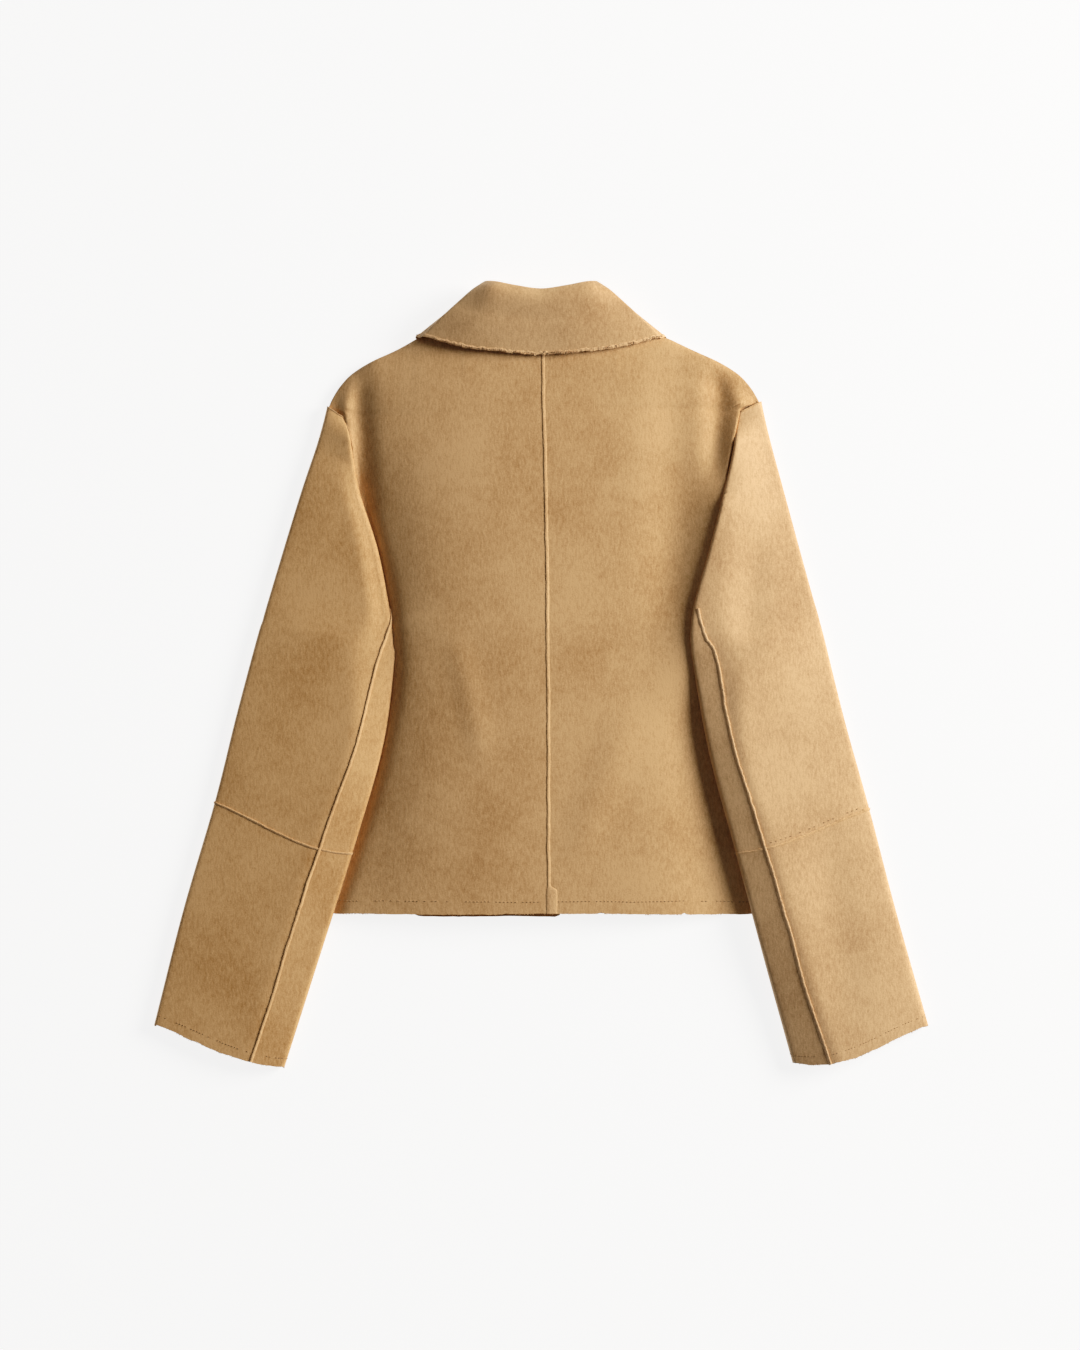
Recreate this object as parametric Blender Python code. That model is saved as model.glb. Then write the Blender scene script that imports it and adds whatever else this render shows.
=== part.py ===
"""A cropped suede jacket laid face down: the back is up, the sleeves lie down beside the body and over it.

+X is the wearer's right, +Y points to the collar and +Z out of the back. The fronts rest on z = 0.
Every piece is one cloth wall: a grid of points on its outer face, and the same grid moved in by the cloth's
thickness. The tables are in millimetres, and add_wall turns them into metres.
"""

import math
from collections import namedtuple

import bpy
import numpy as np

MM = 0.001
CLOTH = 1.5  # thickness of the bonded suede
SEAM_GAP = 0.3  # free space between two pieces at a seam
LAY_GAP = 2.2  # free space between a sleeve and the back it lies on
SEAM_SINK, SINK_BAND = 2.4, 8.0  # how far a sleeve comes down to the back at the armhole, and over what width

# Body: heights along the jacket, y of the hem, of the underarm and of the armhole's top
HEM_Y = -228.0
FRONT_HEM_Y = -230.0
UNDERARM_Y = 50.6
TIP_Y = 256.5
SEAM_Z = 5.5  # height of the side and shoulder seams
NECK_HALF = 74.0  # from the neck's middle to the neck point of the shoulder
NO_ROLL = 40.0  # distance that counts as far from a seam
UNROLL = 22.0  # length above the underarm over which a front's edge comes down flat
ROLL_BAND = 60.0  # width over which the back falls to the shoulder seam
SHOULDER_FALL = (30.0, 75.0)  # distances from the middle between which the back starts to fall to the seam
DOME = 2.2  # power of the back's dome across its width
DOME_EDGE = 0.8  # power that rounds the dome at its edges

# Centre back seam, centre front edges and how far the fronts are pushed up by the collar under them
CENTRE_BACK = ((-228.0, 7.6), (52.0, 6.6), (203.0, 3.8), (332.0, 1.5))  # y, x
FRONT_EDGE = {"left": 18.0, "right": 23.0}  # x of each front's raw edge
COLLAR_LIFT = 4.4
NECK_COLUMN = 2  # the front's grid line through the neck point, where its wall turns from flat to upright
NECK_POINT_DROP = 1.2
FRONT_ARMHOLE_GAP = 3.5  # between a front's edge and the sleeve's at the armhole
EDGE_BAND = 8.0  # length over which a front's armhole gap and its neck point's roll come in
COLLAR_LIFT_REACH = (160.0, 186.0)  # distance from the neck's middle where the lift fades
NECK_MIDDLE_Y = 335.0

BACK_CREST = (  # y, z of the back's middle
    (-228.0, 17.5), (-100.0, 21.0), (60.0, 24.0), (200.0, 25.0), (290.0, 23.5), (335.0, 21.0),
)
BACK_RIM = (  # y, z of the back panel's edge, low at the side seam and higher where the sleeve is set in
    (-228.0, 5.5), (50.0, 5.5), (80.0, 8.5), (124.0, 11.5),
    (171.0, 12.5), (204.0, 12.0), (237.0, 8.5), (256.5, 5.5),
)
SHOULDER = (  # x, y of the left shoulder line, from the neck point to the tip
    (74.0, 338.5), (100.0, 325.0), (119.0, 314.5), (126.4, 312.5), (137.8, 307.5),
    (162.5, 296.2), (180.5, 284.8), (191.0, 273.6), (198.6, 262.2), (201.4, 256.5),
)
SHOULDER_SHIFT = {"left": 0.0, "right": 7.5}  # how much farther out each shoulder reaches
SHIFT_FROM, SHIFT_BAND = 90.0, 60.0  # x where the shift starts and how gently it grows
BACK_NECK = ((0.0, 332.0), (30.0, 332.6), (55.0, 334.5), (74.0, 338.5))  # x, y
FRONT_NECK = (  # x, y
    (0.0, 262.0), (20.0, 264.0), (40.0, 274.0), (55.0, 290.0), (66.0, 310.0), (72.0, 326.0), (74.0, 338.5),
)
SIDE_SEAM = {"left": (228.0, 222.0), "right": (231.0, 225.0)}  # half-width at the hem and at the underarm

# Sleeve stations from the shoulder tip to the cuff. outer and fold are the ends of the section seen from
# above, bow is how far its middle sags to the cuff, split is how far from the outer end it opens at the
# armhole (front seam below that), seam is how far the back seam lies from the fold along the cloth (minus:
# hidden under it), and the crest is the top layer's highest line: its distance from the fold, its height
# and how softly it turns.
Station = namedtuple("Station", "outer_x outer_y fold_x fold_y bow split seam crest_in crest_z soft")
SLEEVE = {
    "left": (
        Station(202.3, 255.8, 192.0, 246.6, 0.0, 9.9, -4.5, 5.5, 12.0, 0.4),
        Station(207.5, 237.0, 182.6, 230.0, 0.0, 22.4, -4.5, 9.0, 17.0, 0.4),
        Station(214.5, 214.0, 178.2, 203.0, 0.0, 34.6, -4.5, 13.0, 23.0, 0.4),
        Station(226.5, 178.5, 171.5, 170.0, 0.0, 48.5, -5.0, 17.0, 30.0, 0.35),
        Station(240.0, 135.0, 155.0, 118.0, 1.0, 56.5, -8.0, 20.0, 37.0, 0.3),
        Station(256.5, 80.0, 144.0, 62.0, 2.0, 56.5, -0.5, 20.0, 42.0, 0.2),
        Station(263.0, 58.0, 141.0, 36.0, 3.0, 41.5, 10.2, 19.0, 42.5, 0.12),
        Station(265.0, 50.5, 140.4, 28.0, 3.2, 21.0, 14.2, 19.0, 42.5, 0.1),
        Station(270.0, 35.0, 139.5, 10.0, 4.0, 22.0, 21.0, 20.0, 42.0, 0.06),
        Station(290.0, -40.0, 150.5, -70.0, 6.0, 28.0, 30.0, 25.0, 38.0, 0.02),
        Station(310.6, -122.5, 179.6, -171.0, 7.5, 40.0, 36.0, 32.0, 31.5, 0.02),
        Station(340.5, -225.0, 211.5, -271.8, 6.0, 50.0, 36.7, 32.0, 25.0, 0.02),
        Station(368.0, -333.5, 244.2, -374.3, 5.5, 48.0, 36.7, 32.0, 18.5, 0.02),
    ),
    "right": (
        Station(209.8, 255.8, 199.5, 246.6, 0.0, 10.0, -4.5, 5.5, 12.0, 0.4),
        Station(213.6, 236.0, 189.4, 229.0, 0.0, 22.0, -4.5, 9.0, 18.0, 0.4),
        Station(220.5, 212.0, 179.6, 203.0, 0.0, 38.2, -4.5, 13.0, 25.0, 0.4),
        Station(229.5, 180.0, 171.5, 165.0, 0.0, 50.0, -5.0, 17.0, 32.0, 0.35),
        Station(242.5, 132.0, 158.0, 112.0, 1.0, 57.0, -8.5, 20.0, 39.0, 0.3),
        Station(256.5, 81.0, 144.6, 64.0, 2.0, 53.0, 5.9, 20.0, 43.0, 0.2),
        Station(263.5, 57.0, 141.6, 35.0, 3.0, 38.8, 18.3, 20.0, 43.5, 0.1),
        Station(265.4, 49.5, 142.2, 28.0, 3.2, 20.0, 21.0, 20.0, 43.5, 0.08),
        Station(269.8, 33.0, 144.0, 12.0, 3.5, 20.5, 25.1, 21.0, 43.0, 0.05),
        Station(289.2, -45.0, 159.1, -73.0, 4.0, 27.0, 30.7, 25.5, 38.5, 0.02),
        Station(312.5, -128.7, 185.3, -171.0, 4.7, 40.0, 34.9, 31.0, 32.0, 0.02),
        Station(338.2, -227.0, 212.0, -271.0, 7.0, 50.0, 36.9, 32.0, 25.5, 0.02),
        Station(368.6, -334.4, 239.4, -369.6, 11.0, 48.0, 41.9, 36.0, 19.0, 0.02),
    ),
}
UNDER_START = 3  # station where the under sleeve begins
UNDERARM_STATION = 6  # stations above this one open at the armhole
FOLD_RADIUS = 3.0
OUTER_RADIUS = 5.5
LEAST_RISE = 1.5  # least height of the crest over a straight line from the fold to the outer edge
FOLD_LEAN = math.radians(30)  # slope of the strip beside the fold
OUTER_LEAN = math.radians(14)  # slope of the top sleeve
EDGE_INSET = 5.0  # a sleeve past the body's edge takes the height of the back this far inside it
SIDE_STEP = (2.0, 20.0)  # distances past the body's edge where a sleeve starts and ends coming down
HEM_STEP = (8.0, 85.0)  # distances below the hem where it starts and ends coming down
BOW_PEAK = 27.0 / 4.0  # brings the largest value of f * f * (1 - f) to 1
BELLY, BELLY_WIDTH = 3.0, 120.0  # how full the top sleeve is past its crest, on a sleeve this wide
CREST_SHARE = (0.05, 0.6)  # least and largest share of the top layer from the fold to the crest
CREST_EASE = 0.2  # share of the softness added back to the crest's height
FOLD_SHARE = 0.18  # most of a section's width that the fold's radius takes
OUTER_SHARE = 0.4  # most of it that the outer edge's radius takes
SPLIT_MARGIN = 0.2  # least distance of the armhole opening from the fold
EASE_END = 0.25  # softness times this is the share of the top layer where the crest's ease comes in
TURN_WEIGHT = 1.2  # how many more points a line gets where it turns
ROLL_SHARE, TURN_SHARE = 0.12, 0.8  # size of the collar's roll along its stand and fall, and square to them

# Collar rows from the centre back to the front end: neck seam, top of the roll, middle of the fall, raw edge
Collar = namedtuple("Collar", "neck roll fall edge turn")
COLLAR = (
    Collar((0.0, 335.0, 21.5), (0.0, 365.2, 31.0), (0.0, 334.0, 33.0), (0.0, 305.0, 28.0), (0.0, 0.0, 4.0)),
    Collar((28, 335.8, 21.2), (24, 368.4, 30), (31, 337, 32.6), (40, 307.8, 27.5), (0, 0.4, 4)),
    Collar((52, 338.4, 19), (42, 371.6, 26), (58, 341, 29.5), (80, 313.2, 23.5), (0.6, 1.2, 3.8)),
    Collar((69, 343, 15), (51, 372.4, 17), (81, 347.8, 19.5), (108, 320, 18), (2, 2.4, 2.6)),
    Collar((71, 343, 10.8), (54.5, 370, 10.5), (86, 345, 11), (118.2, 319.6, 9.5), (2.6, 2.8, -0.6)),
    Collar((69.0, 330.5, 6.6), (54.0, 359.0, 5.4), (88.0, 339.5, 3.0), (124.2, 313.0, 2.0), (1.2, 1.0, -2.2)),
    Collar((61.5, 312.0, 5.8), (45.0, 333.0, 3.4), (84.0, 305.0, 1.0), (125.0, 276.0, 1.0), (0.0, 0.0, -2.5)),
    Collar((45.0, 288.0, 5.8), (30.0, 304.0, 3.4), (64.0, 265.0, 1.0), (100.0, 232.0, 1.0), (0.0, 0.0, -2.5)),
    Collar((21.0, 270.5, 5.8), (11.0, 279.0, 3.4), (34.0, 240.0, 1.0), (66.0, 198.0, 1.0), (0.0, 0.0, -2.5)),
)

# Grid lines of the faceted pieces
BACK_ROWS = (0.0, 0.14, 0.29, 0.44, 0.575, 0.59, 0.61, 0.635, 0.7, 0.78, 0.86, 0.92, 0.965, 0.99, 1.0)
BACK_COLUMNS = (0.0, 0.2, 0.29, 0.368, 0.55, 0.72, 0.84, 0.92, 0.97, 0.992, 1.0)
FRONT_ROWS = (0.0, 0.2, 0.4, 0.577, 0.592, 0.615, 0.66, 0.74, 0.82, 0.9, 0.96, 0.985, 0.995, 1.0)
FRONT_COLUMNS = (0.0, 0.2, 0.36, 0.42, 0.57, 0.8, 0.974, 0.987, 0.9965, 1.0)
SLEEVE_COLUMNS = (6, 5, 4, 10)  # under sleeve: under the strip, fold; top sleeve: fold, the rest
FOLD_REACH = 10.0  # length beside the back seam that keeps columns of its own
UNDER_MARK_SHARE = 0.6  # least share of the under sleeve that lies under the strip
COLLAR_ROWS = 25
COLLAR_COLUMNS = (3, 5, 5)  # up the stand, round the roll, down the fall
CAP_ROWS = (0.0, 0.7, 1.4, 2.1, 2.7)
ARM_ROWS = {
    "left": (3.3, 3.6, 4.0, 4.35, 4.58, 4.78, 4.96, 5.13, 5.3, 5.47, 5.7, 6.0, 7.0, 7.5, 8.0, 8.6, 9.3, 10.0),
    "right": (3.2, 3.55, 4.0, 4.25, 4.42, 4.58, 4.74, 4.9, 5.2, 5.6, 6.0, 7.0, 7.5, 8.0, 8.6, 9.3, 10.0),
}
LOWER_ROWS = (10.0, 10.3, 10.6, 10.85, 11.1, 11.4, 11.7, 12.0)

LEAST_SQUARE = 0.2  # a seam cut more slantwise than this counts as this slant
MOST_TRIM = 0.4  # most of a first column or row that a seam gap takes
UNDERARM_MARGIN = 1.0  # rows up to this far above the underarm end at the side seam

SUEDE = (0.52, 0.32, 0.15)
ROUGHNESS = 0.92


def step(t):
    """Rises smoothly from 0 to 1 while t goes from 0 to 1."""
    t = np.clip(t, 0.0, 1.0)
    return t * t * (3.0 - 2.0 * t)


def curve(x, knots, values, slopes=None):
    """Smooth curve through the values at the knots; a row of values may hold several columns."""
    x, knots, values = (np.asarray(a, float) for a in (x, knots, values))
    slopes = np.gradient(values, knots, axis=0) if slopes is None else slopes
    i = np.clip(np.searchsorted(knots, x, side="right") - 1, 0, len(knots) - 2)
    width = knots[i + 1] - knots[i]
    t = np.clip((x - knots[i]) / width, 0.0, 1.0)
    if values.ndim > 1:
        t, width = t[..., None], width[..., None]
    a = (1 + 2 * t) * (1 - t) ** 2 * values[i] + t * t * (3 - 2 * t) * values[i + 1]
    return a + width * t * (1 - t) * ((1 - t) * slopes[i] - t * slopes[i + 1])


def level_slopes(knots, values):
    """Slopes at the knots that keep the curve between its neighbouring values."""
    legs = np.diff(values) / np.diff(knots)
    before, after = legs[:-1], legs[1:]
    inner = np.where(before * after > 0, 2 * before * after / (before + after + 1e-12), 0.0)
    return np.concatenate((legs[:1], inner, legs[-1:]))


def table_curve(x, table):
    """Smooth curve through a table of (x, value) rows that never overshoots them."""
    knots, values = np.array(table).T
    return curve(x, knots, values, level_slopes(knots, values))


def quarter(t):
    """Quarter circle: rises steeply from 0 and flattens to 1 at t = 1."""
    return np.sqrt(1.0 - (1.0 - np.clip(t, 0.0, 1.0)) ** 2)


# ---------------------------------------------------------------- body heights and outlines


def sign(side):
    return -1.0 if side == "left" else 1.0


def stations(side):
    return np.array(SLEEVE[side], float)


def armhole_table(side):
    """Knots (y, half-width) of the body's edge from the underarm up to the shoulder tip."""
    rows = curve(np.linspace(UNDERARM_STATION, 0.0, 25), np.arange(len(SLEEVE[side])), stations(side))
    across = rows[:, 2:4] - rows[:, 0:2]
    width = np.linalg.norm(across, axis=1)
    points = rows[:, 0:2] + across * (rows[:, 5] / width)[:, None]
    return np.append(points[:, 1], TIP_Y), np.append(points[:, 0], SHOULDER[-1][0] + SHOULDER_SHIFT[side])


def half_width(side, y):
    """Distance from the middle to the body's side seam or armhole."""
    at_hem, at_underarm = SIDE_SEAM[side]
    share = (np.asarray(y, float) - HEM_Y) / (UNDERARM_Y - HEM_Y)
    seam = at_hem + (at_underarm - at_hem) * np.clip(share, 0.0, 1.0)
    knots, values = armhole_table(side)
    return np.where(y < knots[0], seam, curve(y, knots, values, level_slopes(knots, values)))


def shoulder_y(side, x):
    x = np.abs(x)
    return table_curve(x - SHOULDER_SHIFT[side] * step((x - SHIFT_FROM) / SHIFT_BAND), SHOULDER)


def shoulder_normal(side, x):
    """Unit vector in plan that points out of the shoulder line, as (across, along)."""
    x = np.abs(x)
    fall = np.maximum(shoulder_y(side, x - 0.5) - shoulder_y(side, x + 0.5), 0.0)
    return fall / np.hypot(1.0, fall), 1.0 / np.hypot(1.0, fall)


def top_y(side, x, neck):
    """Upper outline of a body panel: its neck edge, then the shoulder line."""
    return np.where(np.abs(x) < NECK_HALF, table_curve(np.abs(x), neck), shoulder_y(side, x))


def lift(x, y):
    """How far the collar under the fronts pushes the body up near the neck."""
    inner, outer = COLLAR_LIFT_REACH
    return COLLAR_LIFT * step((outer - np.hypot(x, y - NECK_MIDDLE_Y)) / (outer - inner))


def back_height(side, x, y):
    """Height of the back's outer face: a low dome that falls to the side seams and the shoulders."""
    across = np.clip(np.abs(x) / half_width(side, y), 0.0, 1.0)
    rim = table_curve(y, BACK_RIM)
    z = rim + (table_curve(y, BACK_CREST) - rim) * (1.0 - across**DOME) ** DOME_EDGE
    to_shoulder = np.maximum((shoulder_y(side, x) - y) * shoulder_normal(side, x)[1], 0.0)
    begins, full = SHOULDER_FALL
    fall = step((np.abs(x) - begins) / (full - begins)) * (1.0 - quarter(to_shoulder / ROLL_BAND))
    seam_z = SEAM_Z + lift(x, y)
    return seam_z + (np.maximum(z, seam_z) - seam_z) * (1.0 - fall)


def front_height(side, x, y):
    """Height of a front's outer face: flat on the surface, rolled up at its seams and over the collar."""
    to_side = half_width(side, y) - np.abs(x) + NO_ROLL * step((y - UNDERARM_Y) / UNROLL)
    to_shoulder = (shoulder_y(side, x) - y) * shoulder_normal(side, x)[1]
    to_shoulder = to_shoulder + NO_ROLL * step((NECK_HALF - np.abs(x)) / EDGE_BAND)
    near = np.maximum(np.minimum(to_side, to_shoulder), 0.0)
    return lift(x, y) + SEAM_Z * (1.0 - quarter(near / SEAM_Z))


# ---------------------------------------------------------------- sleeve sections


def lay_height(side, x, y):
    """Height at which a sleeve lies: over the back, and down past its side edge and its hem."""
    width = half_width(side, y)
    inside = np.minimum(np.abs(x), width - EDGE_INSET)
    top = back_height(side, inside, np.maximum(y, HEM_Y)) + LAY_GAP
    past_side = step((np.abs(x) - width - SIDE_STEP[0]) / (SIDE_STEP[1] - SIDE_STEP[0]))
    past_hem = step((HEM_Y - y - HEM_STEP[0]) / (HEM_STEP[1] - HEM_STEP[0]))
    return top * (1.0 - past_side) * (1.0 - past_hem)


def section(side, station):
    """Points (x, y, z) round a sleeve's outer face, their distances along it, and those of its seam and fold.

    They start at the armhole on the back, go under the strip to the fold, over the top and round the outer
    edge, and come back along the surface to the armhole on the front.
    """
    row = Station(*curve(station, np.arange(len(SLEEVE[side])), stations(side)))
    outer = np.array((row.outer_x, row.outer_y))
    across = np.array((row.fold_x, row.fold_y)) - outer
    width = np.linalg.norm(across)
    down = np.array((across[1], -across[0])) / width
    down *= -math.copysign(1.0, down[1])

    def plan(along):
        f = np.asarray(along, float)[:, None] / width
        return outer + across * f + down * row.bow * BOW_PEAK * f * f * (1.0 - f)

    def lay(along):
        points = plan(along)
        return lay_height(side, points[:, 0], points[:, 1])

    fold_r = min(FOLD_RADIUS, FOLD_SHARE * width)
    outer_r = min(OUTER_RADIUS, OUTER_SHARE * width)
    split = min(row.split, width - fold_r - SPLIT_MARGIN)

    inner_bottom = np.linspace(split, width - fold_r, 50)
    bottom_z = lay(inner_bottom)
    if station <= UNDERARM_STATION:
        bottom_z -= SEAM_SINK * (1.0 - np.clip((inner_bottom - split) / SINK_BAND, 0.0, 1.0)) ** 2
    fold_z = bottom_z[-1] + fold_r
    turn = np.linspace(-math.pi / 2, math.pi / 2 - FOLD_LEAN, 12)[1:]
    fold_along = width - fold_r + fold_r * np.cos(turn)
    fold_top = fold_z + fold_r * np.sin(turn)

    outer_turn = np.linspace(math.pi / 2 + OUTER_LEAN, 3 * math.pi / 2, 12)
    outer_along = outer_r + outer_r * np.cos(outer_turn)
    outer_top = outer_r + outer_r * np.sin(outer_turn)

    top_along = np.linspace(fold_along[-1], outer_along[0], 62)[1:-1]
    share = (fold_along[-1] - top_along) / (fold_along[-1] - outer_along[0])
    base = fold_top[-1] + (outer_top[0] - fold_top[-1]) * share
    crest = (fold_along[-1] - (width - row.crest_in)) / (fold_along[-1] - outer_along[0])
    crest = np.clip(crest, *CREST_SHARE)
    rise = max(row.crest_z - (fold_top[-1] + (outer_top[0] - fold_top[-1]) * crest), LEAST_RISE)
    up, away = share / crest, (1.0 - share) / (1.0 - crest)
    peak = 0.5 * (up + away - np.sqrt((up - away) ** 2 + row.soft**2))
    ends = np.minimum(1.0, np.minimum(share, 1.0 - share) / max(EASE_END * row.soft, 1e-6))
    past_crest = np.minimum(away, 1.0)
    belly = BELLY * past_crest * (1.0 - past_crest) * step(width / BELLY_WIDTH)
    top_z = base + rise * (peak + CREST_EASE * row.soft * ends) + belly

    outer_bottom = np.linspace(outer_r, split, 30)[1:]
    floor_z = lay(outer_bottom) * (station > UNDERARM_STATION)

    along = np.concatenate((inner_bottom, fold_along, top_along, outer_along, outer_bottom))
    z = np.concatenate((bottom_z, fold_top, top_z, outer_top, floor_z))
    points = np.column_stack((plan(along), z))
    points[:, 0] *= sign(side)

    at = np.append(0.0, np.cumsum(np.linalg.norm(np.diff(points, axis=0), axis=1)))
    fold_start, fold_end = at[len(inner_bottom) - 1], at[len(inner_bottom) + len(fold_along) - 1]
    seam = at[int(np.argmax(along))] + row.seam if station >= UNDER_START else 0.0
    return points, at, max(seam, 0.0), fold_start, fold_end


def spread(points, count):
    """The same line with count + 1 points, closer together where it turns."""
    legs = np.diff(points, axis=0)
    length = np.linalg.norm(legs, axis=1)
    unit = legs / np.maximum(length, 1e-9)[:, None]
    turn = np.arccos(np.clip((unit[1:] * unit[:-1]).sum(axis=1), -1.0, 1.0))
    measure = length / max(length.sum(), 1e-9) + np.append(0.0, turn) / math.pi * TURN_WEIGHT
    at = np.append(0.0, np.cumsum(measure))
    wanted = np.linspace(0.0, at[-1], count + 1)
    return np.column_stack([np.interp(wanted, at, points[:, k]) for k in range(3)])


def stretch(points, at, start, end):
    """The part of a line between two distances along it."""
    inside = points[(at > start + 1e-6) & (at < end - 1e-6)]
    ends = [[np.interp(where, at, points[:, k]) for k in range(3)] for where in (start, end)]
    return np.vstack((ends[:1], inside, ends[1:]))


def sleeve_rows(side, rows):
    """Grid of outer points of a sleeve: the under sleeve's columns, the back seam, the top sleeve's columns.

    Each piece has columns of its own round the fold, so that the rest run straight down the sleeve.
    """
    grid = []
    for station in rows:
        points, at, seam, fold_start, fold_end = section(side, station)
        under_mark = max(min(fold_start, seam - FOLD_REACH), UNDER_MARK_SHARE * seam)
        top_mark = max(fold_end, seam + FOLD_REACH)
        marks = (0.0, under_mark, seam, top_mark, at[-1])
        parts = [
            spread(stretch(points, at, start, end), count)[:-1]
            for start, end, count in zip(marks[:-1], marks[1:], SLEEVE_COLUMNS)
        ]
        grid.append(np.vstack((*parts, points[-1:])))
    return np.array(grid)


# ---------------------------------------------------------------- walls


def grid_normals(grid, outward):
    """Unit normals of a grid, turned so that most of them point along the outward vectors."""
    normals = np.cross(np.gradient(grid, axis=0), np.gradient(grid, axis=1))
    normals /= np.maximum(np.linalg.norm(normals, axis=2), 1e-9)[:, :, None]
    return normals if float((normals * outward).sum()) > 0 else -normals


def trim(grid, sides):
    """Draws the named edges of a grid in by half a seam gap, measured square to the edge."""
    grid = grid.copy()
    for side in sides:
        view = grid if side in ("first_row", "last_row") else grid.transpose(1, 0, 2)
        edge, inner = (0, 1) if side.startswith("first") else (-1, -2)
        leg = view[inner] - view[edge]
        length = np.maximum(np.linalg.norm(leg, axis=1), 1e-9)
        leg /= length[:, None]
        run = np.gradient(view[edge], axis=0)
        run /= np.maximum(np.linalg.norm(run, axis=1), 1e-9)[:, None]
        square = np.linalg.norm(np.cross(leg, run), axis=1)
        move = SEAM_GAP / 2 / np.maximum(square, LEAST_SQUARE)
        view[edge] += leg * np.minimum(move, MOST_TRIM * length)[:, None]
    return grid


def wall_faces(outer, inner):
    """Triangles of a closed wall between two grids, each quad cut along its shorter diagonal."""
    rows, columns = outer.shape[:2]
    count = rows * columns
    index = np.arange(count).reshape(rows, columns)
    a, b, c, d = index[:-1, :-1], index[1:, :-1], index[1:, 1:], index[:-1, 1:]
    points = (outer + inner).reshape(-1, 3)
    shorter = np.linalg.norm(points[a] - points[c], axis=2) <= np.linalg.norm(points[b] - points[d], axis=2)
    first = np.where(shorter[..., None], np.stack((a, b, c), axis=-1), np.stack((a, b, d), axis=-1))
    second = np.where(shorter[..., None], np.stack((a, c, d), axis=-1), np.stack((b, c, d), axis=-1))
    first, second = first.reshape(-1, 3), second.reshape(-1, 3)
    face = np.concatenate((first, second))
    rim = np.concatenate((index[0, :], index[1:, -1], index[-1, -2::-1], index[-2::-1, 0]))
    start, end = rim[:-1], rim[1:]
    near = np.stack((start, end, end + count), axis=1)
    far = np.stack((start, end + count, start + count), axis=1)
    return np.concatenate((face, face[:, ::-1] + count, near, far))


def add_wall(name, outer, inner, material):
    """Adds one closed cloth wall between two grids of points, faces outwards."""
    faces = wall_faces(outer, inner)
    points = np.concatenate((outer.reshape(-1, 3), inner.reshape(-1, 3))) * MM
    corners = points[faces]
    if (np.cross(corners[:, 0], corners[:, 1]) * corners[:, 2]).sum() < 0:
        faces = faces[:, ::-1]
    mesh = bpy.data.meshes.new(name)
    mesh.from_pydata(points.tolist(), [], faces.tolist())
    mesh.materials.append(material)
    mesh.shade_smooth()
    mesh.set_sharp_from_angle(angle=math.radians(50))
    piece = bpy.data.objects.new(name, mesh)
    bpy.context.collection.objects.link(piece)


def suede(name, tone):
    """Suede material; tone lightens or darkens the shared colour."""
    material = bpy.data.materials.new(name)
    material.use_nodes = True
    shader = material.node_tree.nodes["Principled BSDF"]
    shader.inputs["Base Color"].default_value = (*(channel * tone for channel in SUEDE), 1.0)
    shader.inputs["Roughness"].default_value = ROUGHNESS
    shader.inputs["Metallic"].default_value = 0.0
    return material


# ---------------------------------------------------------------- pieces


def body_grid(side, rows, columns, start_x, bottom_y, neck, height, armhole_gap):
    """Grid of a body panel from its middle edge out to the side seam and the armhole, hem to shoulder."""
    rows = np.asarray(rows)[:, None]
    columns = np.asarray(columns)[None, :]
    top_x = np.abs(start_x(TIP_Y) + (sign(side) * half_width(side, TIP_Y) - start_x(TIP_Y)) * columns)
    y = bottom_y + rows * (top_y(side, top_x, neck) - bottom_y)
    start = start_x(y)
    width = half_width(side, y) - armhole_gap * step((y - UNDERARM_Y + EDGE_BAND) / EDGE_BAND)
    x = start + (sign(side) * width - start) * columns
    return np.stack((x, y, height(side, x, y)), axis=-1)


def seam_normals(side, grid, normals, shoulder_columns):
    """Turns the normals at the side and shoulder seams outwards, so that both panels end face to face."""
    out = sign(side)
    below = grid[:, -1, 1] < UNDERARM_Y + UNDERARM_MARGIN
    normals[below, -1] = (out, 0.0, 0.0)
    across, along = shoulder_normal(side, grid[-1, shoulder_columns:, 0])
    normals[-1, shoulder_columns:] = np.column_stack((out * across, along, 0.0 * along))
    return normals


def seam_edge(grid, shoulder_columns):
    """Points of a body panel that lie on its side seam or its shoulder seam."""
    edge = np.zeros(grid.shape[:2], bool)
    edge[grid[:, -1, 1] < UNDERARM_Y + UNDERARM_MARGIN, -1] = True
    edge[-1, shoulder_columns:] = True
    return edge


def build_backs(material):
    for side in ("left", "right"):
        grid = body_grid(
            side, BACK_ROWS, BACK_COLUMNS, lambda y: table_curve(y, CENTRE_BACK),
            HEM_Y, BACK_NECK, back_height, 0.0,
        )
        normals = grid_normals(grid, (0, 0, 1))
        normals[:, 0] = (0.0, 0.0, 1.0)
        normals = seam_normals(side, grid, normals, 3)
        grid = trim(grid, ["first_column"])
        grid[seam_edge(grid, 3), 2] += SEAM_GAP / 2
        add_wall(f"back_{side}", grid, grid - normals * CLOTH, material)


def build_fronts(material):
    for side in ("left", "right"):
        start = FRONT_EDGE[side]
        grid = body_grid(
            side, FRONT_ROWS, FRONT_COLUMNS, lambda y: start + 0.0 * y, FRONT_HEM_Y, FRONT_NECK, front_height,
            FRONT_ARMHOLE_GAP,
        )
        normals = seam_normals(side, grid, grid_normals(grid, (0, 0, -1)), NECK_COLUMN)
        normals[-1, NECK_COLUMN] = (normals[-1, NECK_COLUMN] + (0.0, 0.0, -1.0)) * math.sqrt(0.5)
        grid[seam_edge(grid, NECK_COLUMN), 2] -= SEAM_GAP / 2
        grid[-1, NECK_COLUMN, 2] -= NECK_POINT_DROP
        add_wall(f"front_{side}", grid, grid - normals * CLOTH, material)


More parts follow.
